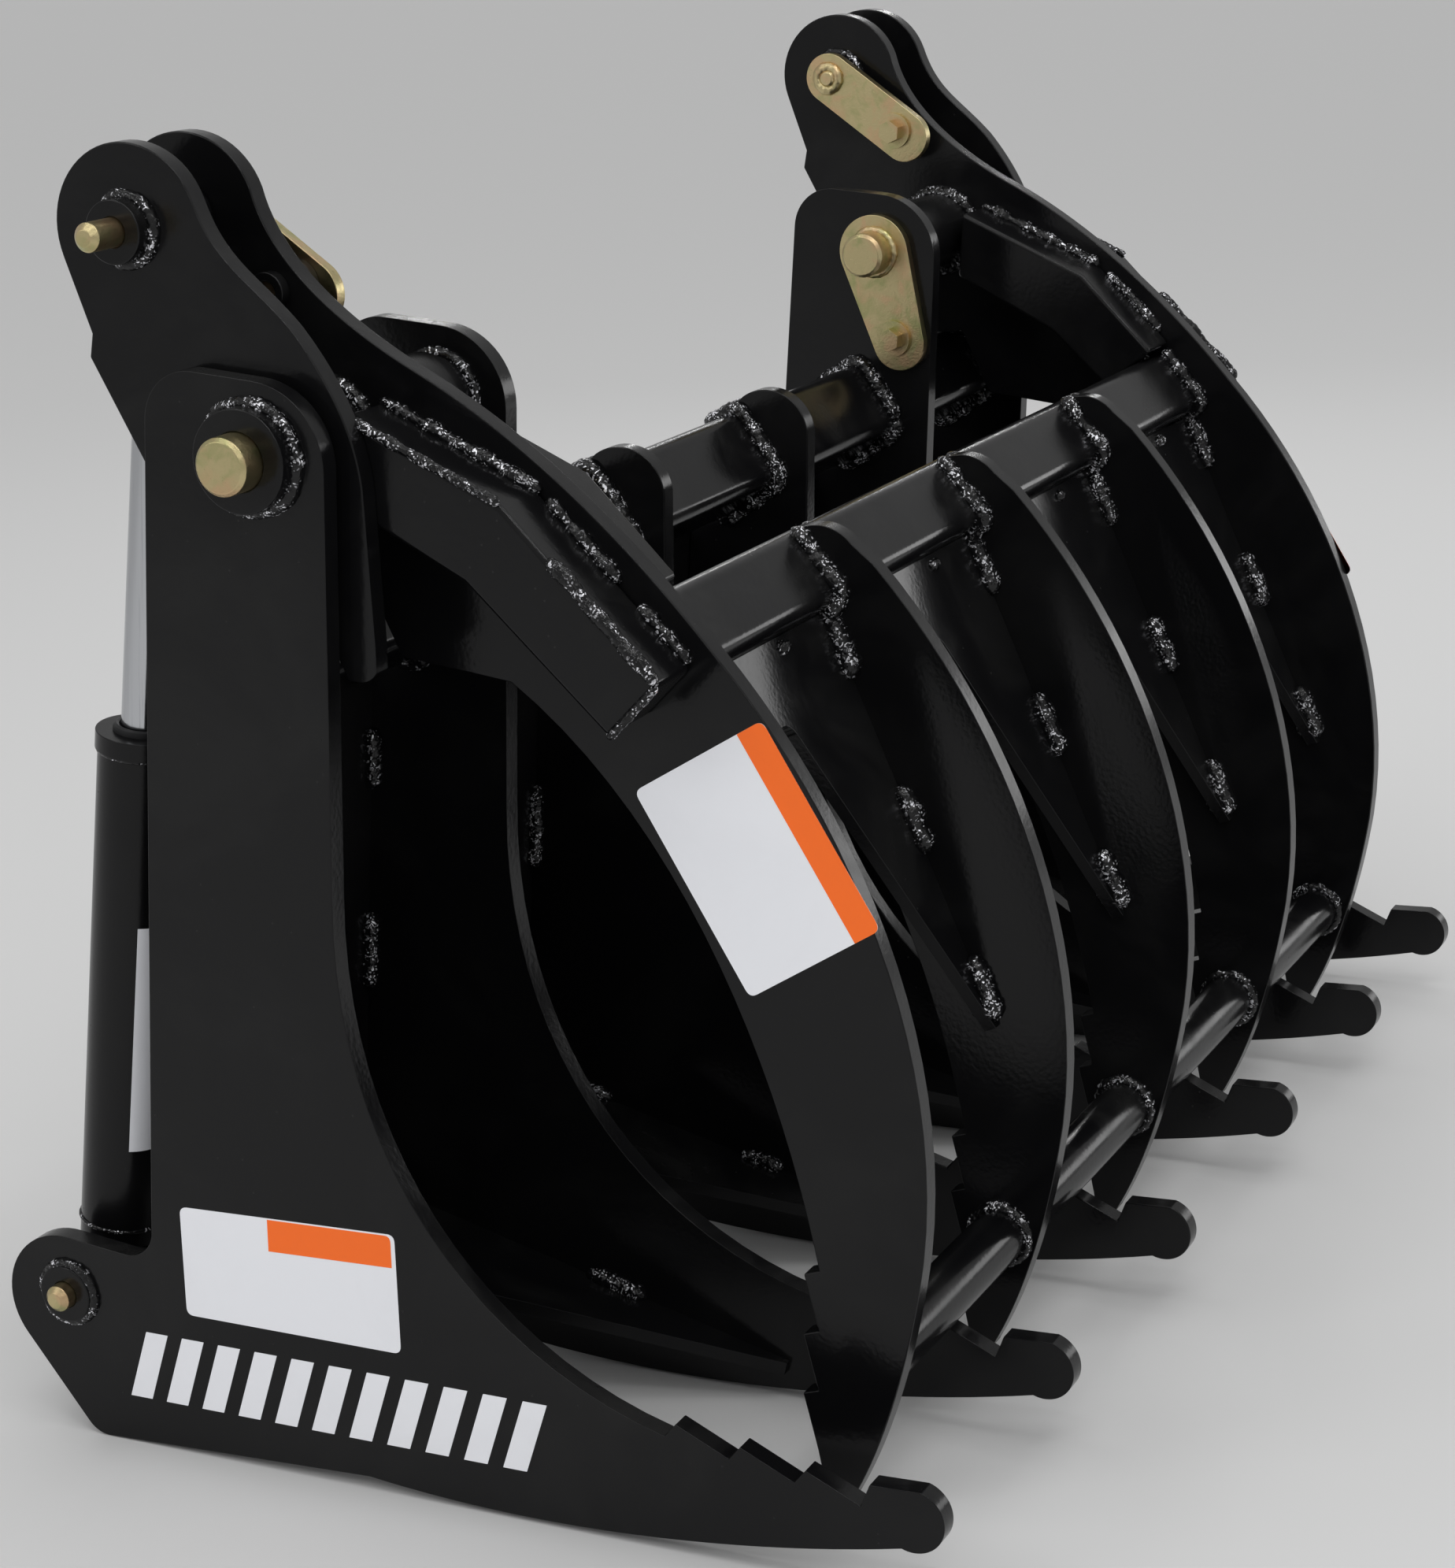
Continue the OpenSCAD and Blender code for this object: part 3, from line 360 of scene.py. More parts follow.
class Beads:
    """Weld beads gathered into one mesh."""

    # Points round a section, the shortest random wave, and the waves' shift round a section, in radians
    around, wave, shift = 10, 0.016, 0.6
    # The ripple's least size and depth as shares of the radius, and its lean as a share of the pitch
    ripple_low, ripple_depth, ripple_lean = 0.93, 0.11, 0.32
    # An open bead's end: its length in radii, its first section's share of that, and its tip's of a step
    end_length, end_start, tip = 1.3, 0.04, 0.2

    def __init__(self, name, radius, seed):
        self.name, self.radius = name, radius
        self.pitch = bpy.context.scene.grapple_finish.ripple_pitch
        self.step = self.pitch / 5
        self.random = np.random.default_rng(seed)
        self.vertices, self.quads, self.triangles, self.count = [], [], [], 0

    def add(self, centre, out, side, radius=None, closed=False, lumps=LUMPY):
        """One bead. Its section at distance s is a circle in the plane of out and side, of angle a. Its radius is
        the bead's own, times one plus a few random waves in s and a, times a ripple that is the absolute sine of
        s over the pitch with its crests leaning back by the cosine of a. An open bead closes to a tip at both
        ends."""
        r = radius or self.radius
        ends = np.vstack([centre, centre[:1]]) if closed else centre
        far = np.concatenate([[0.0], np.cumsum(np.linalg.norm(np.diff(ends, axis=0), axis=1))])
        far, total = far[:len(centre)], far[-1]
        a = np.linspace(0, 2 * np.pi, self.around, endpoint=False)
        s = far[:, None]
        waves = max(3, int(total / self.wave))
        order = np.arange(1, waves + 1)
        phase = self.random.uniform(0, 2 * np.pi, (2, waves))
        size = self.random.normal(0, lumps / math.sqrt(waves / 2), waves)
        swell = np.einsum("k,ski->si", size, np.cos(
            2 * np.pi * order[None, :, None] * s[:, :, None] / total + phase[0][None, :, None]
            + self.shift * np.cos(a[None, None, :] + phase[1][None, :, None])))
        turns = max(2, round(total / self.pitch))
        ripple = np.abs(np.sin(np.pi * (turns * s / total + self.ripple_lean * np.cos(a)[None, :])))
        grown = r * (1 + swell) * (self.ripple_low + self.ripple_depth * ripple)
        if not closed:
            near = np.clip(np.minimum(far, total - far) / (self.end_length * r), self.end_start, 1)
            grown = grown * np.sqrt(1 - (1 - near) ** 2)[:, None]
        ring = (centre[:, None, :] + grown[:, :, None] * (
            np.cos(a)[None, :, None] * out[:, None, :] + np.sin(a)[None, :, None] * side[:, None, :]))
        rows = len(centre)
        index, quads = tube_faces(rows, self.around, closed)
        vertices = ring.reshape(-1, 3)
        turned = faces_inwards(vertices, quads, centre if closed else centre[:-1])
        triangles = np.zeros((0, 3), int)
        if not closed:
            poles = np.stack([centre[0] - (centre[1] - centre[0]) * self.tip,
                              centre[-1] + (centre[-1] - centre[-2]) * self.tip])
            first, last = (np.full(self.around, rows * self.around + k) for k in (0, 1))
            vertices = np.vstack([vertices, poles])
            triangles = np.vstack([np.stack([np.roll(index[0], -1), index[0], first], 1),
                                   np.stack([index[-1], np.roll(index[-1], -1), last], 1)])
        if turned:
            quads, triangles = quads[:, ::-1], triangles[:, ::-1]
        self.vertices.append(vertices)
        self.quads.append(quads + self.count)
        self.triangles.append(triangles + self.count)
        self.count += len(vertices)

    def seam(self, flat, x, facing, pieces, radius=None, flip=1.0, lumps=LUMPY):
        """Stitches of bead on the plane X = x, along a path of depths and heights, in the corner between a
        plate's face and a sheet: the centre stands a fifth of the radius clear of both."""
        clear = 0.2 * (radius or self.radius)
        for start, stop in pieces:
            line = resample(flat, start, stop, self.step)
            slope = np.gradient(line, axis=0)
            slope /= np.linalg.norm(slope, axis=1)[:, None]
            normal = flip * np.stack([-slope[:, 1], slope[:, 0]], 1)
            centre = np.column_stack([np.full(len(line), x + facing * clear), line + clear * normal])
            out = np.column_stack([np.zeros(len(line)), normal])
            side = np.tile([facing, 0.0, 0.0], (len(line), 1))
            self.add(centre, out, side, radius, lumps=lumps)

    def ring(self, centre, axis, reach, radius=None, lumps=LUMPY):
        """A bead round a boss: a full circle about an axis, with the bead's centre just outside the boss."""
        r = radius or self.radius
        axis = np.asarray(axis, float) / np.linalg.norm(axis)
        across = np.cross(axis, (0.0, 0.0, 1.0))
        lean = np.linalg.norm(across)
        across = across / lean if lean > 0.1 else np.array((1.0, 0.0, 0.0))
        count = max(12, int(2 * math.pi * reach / self.step))
        angle = np.linspace(0, 2 * np.pi, count, endpoint=False)
        out = np.cos(angle)[:, None] * across + np.sin(angle)[:, None] * np.cross(axis, across)
        line = np.asarray(centre) + (reach + 0.1 * r) * out + 0.15 * r * axis
        self.add(line, out, np.tile(axis, (count, 1)), r, closed=True, lumps=lumps)

    def finish(self, material, body, slot="black_paint"):
        parts = (np.vstack(rows) for rows in (self.vertices, self.quads, self.triangles))
        return dressed(mesh_object(self.name, *parts), material, body)


def feed(tree, socket, value):
    """Links a socket to another one, or sets its plain value."""
    if isinstance(value, bpy.types.NodeSocket):
        tree.links.new(value, socket)
    else:
        socket.default_value = value


def add_node(tree, kind, **values):
    """A node with its plain settings, and its inputs fed where the name is one of them."""
    node = tree.nodes.new(kind)
    for key, value in values.items():
        if hasattr(node, key):
            setattr(node, key, value)
        else:
            feed(tree, node.inputs[key.replace("_", " ")], value)
    return node


def maths(tree, operation, *terms, kind="ShaderNodeMath", **settings):
    """The result of an operation on numbers, vectors or sockets."""
    node = add_node(tree, kind, operation=operation, **settings)
    for socket, term in zip(node.inputs, terms):
        feed(tree, socket, term)
    return node.outputs[0]


def blended(tree, share, first, second):
    """The colour between two colours, by a share."""
    node = add_node(tree, "ShaderNodeMix", data_type="RGBA")
    for place, value in ((0, share), (6, first), (7, second)):
        feed(tree, node.inputs[place], value)
    return node.outputs[2]


def noise(tree, place, scale, detail, **values):
    """The outputs of a noise at a place."""
    return add_node(tree, "ShaderNodeTexNoise", Vector=place, Scale=scale, Detail=detail, **values).outputs


def ramp(tree, value, low, high, first=0.0, last=1.0, smooth=False):
    """A value's place between low and high, drawn out to first and last, evenly or by a smooth step."""
    kind = "SMOOTHSTEP" if smooth else "LINEAR"
    node = add_node(tree, "ShaderNodeMapRange", interpolation_type=kind, Value=value, From_Min=low,
                    From_Max=high, To_Min=first, To_Max=last)
    return node.outputs["Result"]


def new_group(name, outputs, **inputs):
    """An empty shader node group with its coordinates, named inputs with their values, and named outputs."""
    group = bpy.data.node_groups.new(name, "ShaderNodeTree")
    add = group.interface.new_socket
    add(name="Vector", in_out="INPUT", socket_type="NodeSocketVector")
    for label, value in inputs.items():
        kind = "NodeSocketColor" if isinstance(value, tuple) else "NodeSocketFloat"
        add(name=label, in_out="INPUT", socket_type=kind).default_value = value
    for label in outputs:
        kind = "NodeSocketColor" if label == "Color" else "NodeSocketFloat"
        add(name=label, in_out="OUTPUT", socket_type=kind)
    given = group.nodes.new("NodeGroupInput").outputs
    return group, given["Vector"], given, group.nodes.new("NodeGroupOutput").inputs


def put_group(tree, build, place, **values):
    """Places a node group in a material, on its coordinates. It is built once, under its builder's name."""
    name = build.__name__.replace("_", " ").capitalize()
    node = tree.nodes.new("ShaderNodeGroup")
    node.node_tree = bpy.data.node_groups.get(name) or build(name)
    for label, value in values.items():
        node.inputs[label].default_value = value
    tree.links.new(place, node.inputs["Vector"])
    return node.outputs


def orange_peel(name):
    """The soft dimples of sprayed gloss paint, from two noises of different size, and faint long waves."""
    tree, place, given, out = new_group(name, ("Height",), Scale=320.0, Waves=0.6)
    fine = noise(tree, place, given["Scale"], 2.0, Roughness=0.4)["Fac"]
    waves = maths(tree, "MULTIPLY", noise(tree, place, 22.0, 1.0)["Fac"], given["Waves"])
    feed(tree, out["Height"], maths(tree, "ADD", fine, waves))
    return tree


def settled_dust(name):
    """A mask of thin dust and smears, stronger where the surface faces up, and one of small specks."""
    tree, place, given, out = new_group(name, ("Mask", "Specks"), Amount=0.5, Upward=0.6)
    clouds = noise(tree, place, 9.0, 6.0, Roughness=0.62, Distortion=0.6)["Fac"]
    cells = add_node(tree, VORONOI, Vector=place, Scale=130.0).outputs
    dots = ramp(tree, cells["Distance"], 0.11, 0.05)
    tone = add_node(tree, "ShaderNodeSeparateColor", Color=cells["Color"]).outputs["Red"]
    normal = add_node(tree, "ShaderNodeNewGeometry").outputs["Normal"]
    rise = add_node(tree, "ShaderNodeSeparateXYZ", Vector=normal).outputs["Z"]
    lift = maths(tree, "MULTIPLY_ADD", rise, given["Upward"], 0.4, use_clamp=True)
    thick = maths(tree, "MULTIPLY", ramp(tree, clouds, 0.42, 0.72, smooth=True), lift)
    feed(tree, out["Mask"], maths(tree, "MULTIPLY", thick, given["Amount"], use_clamp=True))
    kept = maths(tree, "MULTIPLY", dots, maths(tree, "GREATER_THAN", tone, 0.93))
    feed(tree, out["Specks"], kept)
    return tree


def zinc_bloom(name):
    """The drifting tints of yellow zinc plate: the main colour clouded with a greener and a redder one."""
    tree, place, given, out = new_group(
        name, ("Color", "Grain"), Main=(0.6, 0.5, 0.2, 1), Green=(0.42, 0.41, 0.19, 1),
        Red=(0.62, 0.44, 0.25, 1), Scale=55.0)
    shifted = maths(tree, "ADD", place, (3.1, 1.7, 5.3), kind=VECTOR_MATH)
    colour = given["Main"]
    for label, start, warp in (("Green", place, 0.8), ("Red", shifted, 0.5)):
        clouds = noise(tree, start, given["Scale"], 3.0, Distortion=warp)["Fac"]
        colour = blended(tree, ramp(tree, clouds, 0.46, 0.68, smooth=True), colour, given[label])
    feed(tree, out["Color"], colour)
    feed(tree, out["Grain"], noise(tree, place, 620.0, 3.0, Roughness=0.7)["Fac"])
    return tree


def fine_scratches(name):
    """Hair lines: noise squeezed across and stretched along the piece, and its brightest part."""
    tree, place, given, out = new_group(name, ("Height", "Mask"), Along=6.0, Across=900.0)
    squeeze = add_node(tree, "ShaderNodeCombineXYZ", X=given["Across"], Y=given["Across"], Z=given["Along"])
    scaled = maths(tree, "MULTIPLY", place, squeeze.outputs[0], kind=VECTOR_MATH)
    lines = noise(tree, scaled, 1.0, 3.0, Roughness=0.7)["Fac"]
    feed(tree, out["Height"], lines)
    feed(tree, out["Mask"], ramp(tree, lines, 0.55, 0.75))
    return tree


def painted_weld_glints(name):
    """Painted highlights on weld metal: small bright specks, the middles of Voronoi cells, bent by noise and
    kept where a wider noise is high. They stand in for sparkles of light on the glossy beads."""
    tree, place, given, out = new_group(name, ("Mask",), Scale=430.0, Reach=0.42)
    drift = noise(tree, place, 240.0, 1.0)["Color"]
    centred = maths(tree, "SUBTRACT", drift, (0.5, 0.5, 0.5), kind=VECTOR_MATH)
    bent = maths(tree, "MULTIPLY_ADD", centred, (0.009, 0.009, 0.009), place, kind=VECTOR_MATH)
    cells = add_node(tree, VORONOI, feature="F1", Vector=bent, Scale=given["Scale"]).outputs["Distance"]
    painted_flecks = ramp(tree, cells, 0.28, given["Reach"], 1.0, 0.0, smooth=True)
    patches = ramp(tree, noise(tree, place, 130.0, 2.0)["Fac"], 0.42, 0.62, smooth=True)
    feed(tree, out["Mask"], maths(tree, "MULTIPLY", painted_flecks, patches))
    return tree


def new_material(name):
    """A material with one Principled shader, and its Object coordinates."""
    material = bpy.data.materials.new(name)
    material.use_nodes = True
    tree = material.node_tree
    place = add_node(tree, "ShaderNodeTexCoord").outputs["Object"]
    return material, tree, tree.nodes["Principled BSDF"], place


def surface(tree, shader, height, strength, distance, **values):
    """Feeds a shader's inputs, and bumps its normal by a height."""
    bump = add_node(tree, "ShaderNodeBump", Strength=strength, Distance=distance, Height=height)
    feed(tree, shader.inputs["Normal"], bump.outputs["Normal"])
    for label, value in values.items():
        feed(tree, shader.inputs[label.replace("_", " ")], value)


def made_once(build):
    """A material's builder that gives the same material again under a name that it has built."""
    return lambda name, *values: bpy.data.materials.get(name) or build(name, *values)


@made_once
def gloss_paint(name, colour, dust, roughness=0.16, peel=0.35, scale=320.0, amount=0.6, upward=0.6):
    """Sprayed gloss paint: dark, with orange peel, thin dust and a few specks."""
    material, tree, shader, place = new_material(name)
    skin = put_group(tree, orange_peel, place, Scale=scale)
    soil = put_group(tree, settled_dust, place, Amount=amount, Upward=upward)
    spots = maths(tree, "MULTIPLY_ADD", soil["Specks"], 0.8, soil["Mask"], use_clamp=True)
    surface(tree, shader, skin["Height"], peel, 0.0002, Specular_IOR_Level=0.25,
            Base_Color=blended(tree, spots, (*colour, 1), (*dust, 1)),
            Roughness=ramp(tree, spots, 0.0, 1.0, roughness, roughness + 0.30))
    return material


# The last colour is a painted highlight: the near white of the specks that stand in for sparkles on the welds.
@made_once
def weld_paint(name, colour, dust, painted_glint=(0.92, 0.92, 0.97)):
    """Painted weld metal: the gloss runs over small spatter and ripples, with painted highlights at their tops:
    near-white, half-metallic specks in its colour that stand in for sparkles of light.
    """
    material, tree, shader, place = new_material(name)
    lumps = noise(tree, place, 300.0, 2.0)["Fac"]
    grains = add_node(tree, VORONOI, feature="SMOOTH_F1", Vector=place, Scale=340.0).outputs["Distance"]
    soil = put_group(tree, settled_dust, place, Amount=0.5, Upward=0.4)["Mask"]
    # Painted highlights: a mask of small specks that turns the colour near white and half metallic, standing in
    # for sparkles of light.
    painted_glints = put_group(tree, painted_weld_glints, place)["Mask"]
    dusty = blended(tree, soil, (*colour, 1), (*dust, 1))
    surface(tree, shader, maths(tree, "MULTIPLY_ADD", grains, -0.5, lumps), 0.9, 0.0010,
            Base_Color=blended(tree, painted_glints, dusty, (*painted_glint, 1)), Specular_IOR_Level=0.35,
            Metallic=maths(tree, "MULTIPLY", painted_glints, 0.5), Roughness=ramp(tree, lumps, 0.0, 1.0, 0.05, 0.20))
    return material


@made_once
def zinc_plate(name, colour):
    """Yellow zinc plate: a satin metal with drifting tints and a fine grain."""
    material, tree, shader, place = new_material(name)
    bloom = put_group(tree, zinc_bloom, place, Main=(*colour, 1))
    surface(tree, shader, bloom["Grain"], 0.6, 0.00030, Base_Color=bloom["Color"], Metallic=1.0,
            Roughness=ramp(tree, bloom["Grain"], 0.0, 1.0, 0.18, 0.48))
    return material


def worn(colour):
    """A colour and its darker shade, where it is rubbed or soiled."""
    return (*colour, 1), (*(0.72 * c for c in colour), 1)


@made_once
def bare_metal(name, colour, low, high, across=900.0):
    """Ground or machined metal with hair lines along it."""
    material, tree, shader, place = new_material(name)
    lines = put_group(tree, fine_scratches, place, Across=across)
    surface(tree, shader, lines["Height"], 0.12, 0.00005, Metallic=1.0,
            Base_Color=blended(tree, lines["Mask"], *worn(colour)),
            Roughness=ramp(tree, lines["Mask"], 0.0, 1.0, low, high))
    return material


@made_once
def film(name, colour):
    """A plain plastic film stuck on the paint: nearly even, with a little soiling and a soft surface."""
    material, tree, shader, place = new_material(name)
    soil = put_group(tree, settled_dust, place, Amount=0.35, Upward=0.0)["Mask"]
    skin = put_group(tree, orange_peel, place, Scale=260.0)["Height"]
    surface(tree, shader, skin, 0.2, 0.0001, Base_Color=blended(tree, soil, *worn(colour)), Roughness=0.32)
    return material


def weld_black():
    finish = bpy.context.scene.grapple_finish
    return weld_paint("Painted weld", finish.paint, finish.dust)


def eased(node, width, material):
    """A copy of a CAD node with its doubles merged, its flat faces joined and its sharp edges rounded, which is
    shown in place of the node. The node's mesh is left alone, and the node is hidden."""
    made = bpy.data.objects.new(f"eased_{node}", bpy.data.meshes.new(f"eased_{node}"))
    work = bmesh.new()
    work.from_mesh(NODES[node].data)
    bmesh.ops.remove_doubles(work, verts=work.verts, dist=1e-5)
    bmesh.ops.dissolve_limit(work, angle_limit=math.radians(0.6), verts=work.verts, edges=work.edges)
    open_edges = [edge for edge in work.edges if len(edge.link_faces) != 2]
    if open_edges:
        raise RuntimeError(f"{node} isn't closed after merging: {len(open_edges)} edges")
    work.to_mesh(made.data)
    work.free()
    for label in ("custom_normal", "sharp_edge", "sharp_face"):
        if label in made.data.attributes:
            made.data.attributes.remove(made.data.attributes[label])
    made.data.polygons.foreach_set("use_smooth", np.ones(len(made.data.polygons), bool))
    made.data.materials.clear()
    bpy.context.scene.collection.objects.link(made)
    ease = made.modifiers.new("Eased edges", "BEVEL")
    ease.width = width
    ease.segments = 2
    ease.limit_method = "ANGLE"
    ease.angle_limit = math.radians(34)
    ease.harden_normals = True
    ease.use_clamp_overlap = True
    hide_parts(node)
    return dressed(made, material, NODES[node]["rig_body"])


class GRAPPLE_OT_plates(bpy.types.Operator):
    """Ease and paint the plates, tubes and boxes of both jaws"""

    bl_idname = "grapple.plates"
    bl_label = "Plates and tubes"

    def execute(self, context):
        finish = context.scene.grapple_finish
        paint = gloss_paint("Gloss black paint", finish.paint, finish.dust)
        for node in PAINTED:
            eased(node, EDGES.get(node, finish.edge_ease), paint)
        return {"FINISHED"}


class GRAPPLE_OT_pins(bpy.types.Operator):
    """Ease and plate the pins, keepers and bolts, and add the welds that hold the pins to their keepers"""

    bl_idname = "grapple.pins"
    bl_label = "Pins, keepers and bolts"

    def execute(self, context):
        finish = context.scene.grapple_finish
        zinc = zinc_plate("Yellow zinc", finish.plating)
        for node in PLATED:
            eased(node, finish.pin_ease, zinc)
        lower = Beads("pin_fillets_lower", PIN_BEAD, 41)
        upper = Beads("pin_fillets_upper", SMALL_BEAD, 42)
        fillets = ((lower, "pivot_keepers", PIVOT, PIVOT_PIN_R, None),
                   (lower, "base_keepers", BASE_PIN, PIN_STUB_R, STUB_BEAD),
                   (upper, "rod_keepers", ROD_PIN, PIN_STUB_R, None))
        for s in (1, -1):
            for beads, keepers, pin, reach, radius in fillets:
                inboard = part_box(keepers)[1].x - KEEPER_T
                beads.ring((s * inboard, *pin), (-s, 0, 0), reach, radius)
        lower.finish(zinc, "lower_jaw", "zinc")
        upper.finish(zinc, "upper_jaw", "zinc")
        return {"FINISHED"}


def on_cylinder(side, far):
    """A point on a cylinder's axis: the base pin, plus a distance along the line between the pins."""
    return np.array((side * CYLINDER_X, *(BASE_PIN + far * LEAN)))


def turned_ring(name, side, profile, material, body, count=64):
    """A ring about a cylinder's axis: a closed profile of radii and distances, carried round a full turn."""
    profile = np.asarray(profile)
    angle = np.linspace(0, 2 * np.pi, count, endpoint=False)
    across = np.array((1.0, 0.0, 0.0))
    forward = np.array((0.0, LEAN[1], -LEAN[0]))
    spoke = np.cos(angle)[:, None] * across + np.sin(angle)[:, None] * forward
    points = (on_cylinder(side, 0.0) + profile[None, :, 0, None] * spoke[:, None, :]
              + profile[None, :, 1, None] * np.array((0.0, *LEAN)))
    quads = tube_faces(count, len(profile), True)[1]
    vertices = points.reshape(-1, 3)
    if faces_inwards(vertices, quads, points.mean(1)):
        quads = quads[:, ::-1]
    return dressed(mesh_object(name, vertices, quads), material, body, sharp=30)


class GRAPPLE_OT_cylinders(bpy.types.Operator):
    """Paint the barrels and eyes, polish the rods, and add the wipers and the welds of the cylinders"""

    bl_idname = "grapple.cylinders"
    bl_label = "Cylinders"

    def execute(self, context):
        finish = context.scene.grapple_finish
        black = gloss_paint("Cylinder black", finish.paint, finish.dust, 0.22, 0.25, 420.0, 0.4, 0.3)
        chrome = bare_metal("Rod chrome", (0.52, 0.53, 0.55), 0.12, 0.26)
        steel = bare_metal("Machined steel", (0.55, 0.56, 0.57), 0.25, 0.40, 500.0)
        rubber = gloss_paint("Wiper rubber", (0.010, 0.010, 0.011), finish.dust, 0.45, 0.2, 700.0, 0.3, 0.3)
        down = (0.0, *-LEAN)
        for label, s in SIDES:
            for stem in CYLINDER_BLACK:
                eased(f"{stem}_{label}", finish.pin_ease, black)
            eased(f"rod_{label}", ROD_EDGE, chrome)
            eased(f"piston_{label}", finish.pin_ease, steel)
            turned_ring(f"wiper_{label}", s, WIPER, rubber, f"barrel_{label}")
            welds = Beads(f"barrel_welds_{label}", FINE_BEAD, 51)
            welds.ring(on_cylinder(s, BARREL_BEAD), down, BARREL_R, lumps=EVEN)
            port = np.array((-s * math.cos(PORT_TURN), *(math.sin(PORT_TURN) * np.array((-LEAN[1], LEAN[0])))))
            for far in PORTS:
                welds.ring(on_cylinder(s, far) + (BARREL_R - PORT_SINK) * port, port, PORT_R, PORT_BEAD)
            welds.ring(on_cylinder(s, GLAND_BEAD), down, BARREL_R, lumps=EVEN)
            welds.finish(weld_black(), f"barrel_{label}")
            neck = Beads(f"rod_eye_weld_{label}", NECK_BEAD, 52)
            neck.ring(on_cylinder(s, REST_LENGTH - EYE_REACH), down, ROD_EYE_NECK_R)
            neck.finish(weld_black(), f"rod_eye_{label}")
        return {"FINISHED"}


def sheet_front(shift=0.0):
    """The back sheet's front line, or one moved back from it: down the back, round the bend and out along the
    floor."""
    bend = arc(BEND, BEND_R + shift, 180, 270 - math.degrees(SLOPE), 20)
    run = (SHEET_END - SEAM_SPARE - bend[-1][0]) / math.cos(SLOPE)
    far = bend[-1] + run * np.array((math.cos(SLOPE), -math.sin(SLOPE)))
    return np.vstack([[SHEET_Y - shift, SHEET_TOP], bend, far])


class GRAPPLE_OT_lower_welds(bpy.types.Operator):
    """Weld beads of the lower jaw"""

    bl_idname = "grapple.lower_welds"
    bl_label = "Lower jaw welds"

    def execute(self, context):
        r = context.scene.grapple_finish.bead_radius
        front, rear = sheet_front(), sheet_front(SHEET_T)
        seams = Beads("sheet_welds", r, 11)
        tube = Beads("back_tube_welds", BACK_TUBE_BEAD, 12)
        bosses = Beads("collar_welds", r, 13)
        coupler = Beads("coupler_welds", COUPLER_BEAD, 14)
        towers = ((SIDE_IN, -1), (TOWER_OUT, 1), (TOWER_IN, -1))
        tines = ((INNER_OUT, 1), (INNER_IN, -1))
        for s in (1, -1):
            for x, facing in towers:
                seams.seam(front, s * x, s * facing, TOWER_STITCHES)
            for x, facing in tines:
                seams.seam(front, s * x, s * facing, TINE_STITCHES)
            for x, facing in towers:
                seams.seam(rear, s * x, s * facing, REAR_STITCHES, flip=-1.0)
            for places, span in ((towers, TOWER_ARC), (tines, TINE_ARC)):
                outline = rounded_square(BACK_TUBE, BACK_TUBE_W, BACK_TUBE_TURN, *span)
                for x, facing in places:
                    tube.seam(outline, s * x, s * facing, WHOLE, flip=-1.0)
            for x, facing, pin, reach, radius in LOWER_RINGS:
                bosses.ring((s * x, *pin), (s * facing, 0, 0), reach, radius)
            coupler.seam(COUPLER_EDGE, s * TOWER_IN, -s, COUPLER_STITCHES, flip=-1.0)
            seams.seam(LUG_EDGE, s * LUG_OUT, s, WHOLE, flip=-1.0)
            seams.seam(LUG_EDGE, s * LUG_IN, -s, WHOLE, flip=-1.0)
        for beads in (seams, tube, bosses, coupler):
            beads.finish(weld_black(), "lower_jaw")
        return {"FINISHED"}


class GRAPPLE_OT_upper_welds(bpy.types.Operator):
    """Weld beads of the upper jaw"""

    bl_idname = "grapple.upper_welds"
    bl_label = "Upper jaw welds"

    def execute(self, context):
        way = np.array((math.cos(APRON_TURN), math.sin(APRON_TURN)))
        inward = np.array((math.sin(APRON_TURN), -math.cos(APRON_TURN)))
        apron = np.stack([APRON_TOP, APRON_TOP + APRON_LENGTH * way])
        under = apron + SHEET_T * inward
        seams = Beads("apron_welds", APRON_BEAD, 21)
        tube = Beads("upper_tube_welds", UPPER_TUBE_BEAD, 22)
        bosses = Beads("upper_boss_welds", context.scene.grapple_finish.bead_radius, 23)
        boxes = Beads("box_welds", BOX_BEAD, 24)
        front_half = rounded_square(UPPER_TUBE, UPPER_TUBE_W, UPPER_TUBE_TURN, *FRONT_ARC)
        rear_half = rounded_square(UPPER_TUBE, UPPER_TUBE_W, UPPER_TUBE_TURN, *REAR_ARC)
        for s in (1, -1):
            for x, facing in ((MIDDLE_OUT, 1), (MIDDLE_IN, -1), (HALF_PLATE, 1), (OUTER_IN, -1)):
                seams.seam(apron, s * x, s * facing, APRON_STITCHES)
                seams.seam(under, s * x, s * facing, UNDER_STITCHES, SMALL_BEAD, flip=-1.0)
                tube.seam(front_half, s * x, s * facing, WHOLE, flip=-1.0, lumps=UNEVEN)
                bosses.ring((s * x, *PIPE), (s * facing, 0, 0), PIPE_R, PIPE_BEAD)
            tube.seam(rear_half, s * OUTER_IN, -s, TUBE_REAR_STITCH, TUBE_REAR_BEAD, flip=-1.0)
            for x, facing, pin, reach, radius in UPPER_RINGS:
                bosses.ring((s * x, *pin), (s * facing, 0, 0), reach, radius)
            for path, x, facing, stitches, radius, lumps in BOX_SEAMS:
                boxes.seam(path, s * x, s * facing, stitches, radius, lumps=lumps)
        middle = 0.5 * (MIDDLE_IN + MIDDLE_OUT)
        spot = np.tile(APRON_TOP + TACK_DROP * way, (TACK_POINTS, 1))
        for x in (middle, 0.0, -middle, -OUTER_IN):
            line = np.column_stack([np.linspace(x + TACK_START, x + TACK_STOP, TACK_POINTS), spot])
            out, side = (np.tile((0.0, *flat), (TACK_POINTS, 1)) for flat in (-inward, way))
            seams.add(line, out, side, SMALL_BEAD, lumps=TACK_SWELL)
        for beads in (seams, tube, bosses, boxes):
            beads.finish(weld_black(), "upper_jaw")
        return {"FINISHED"}


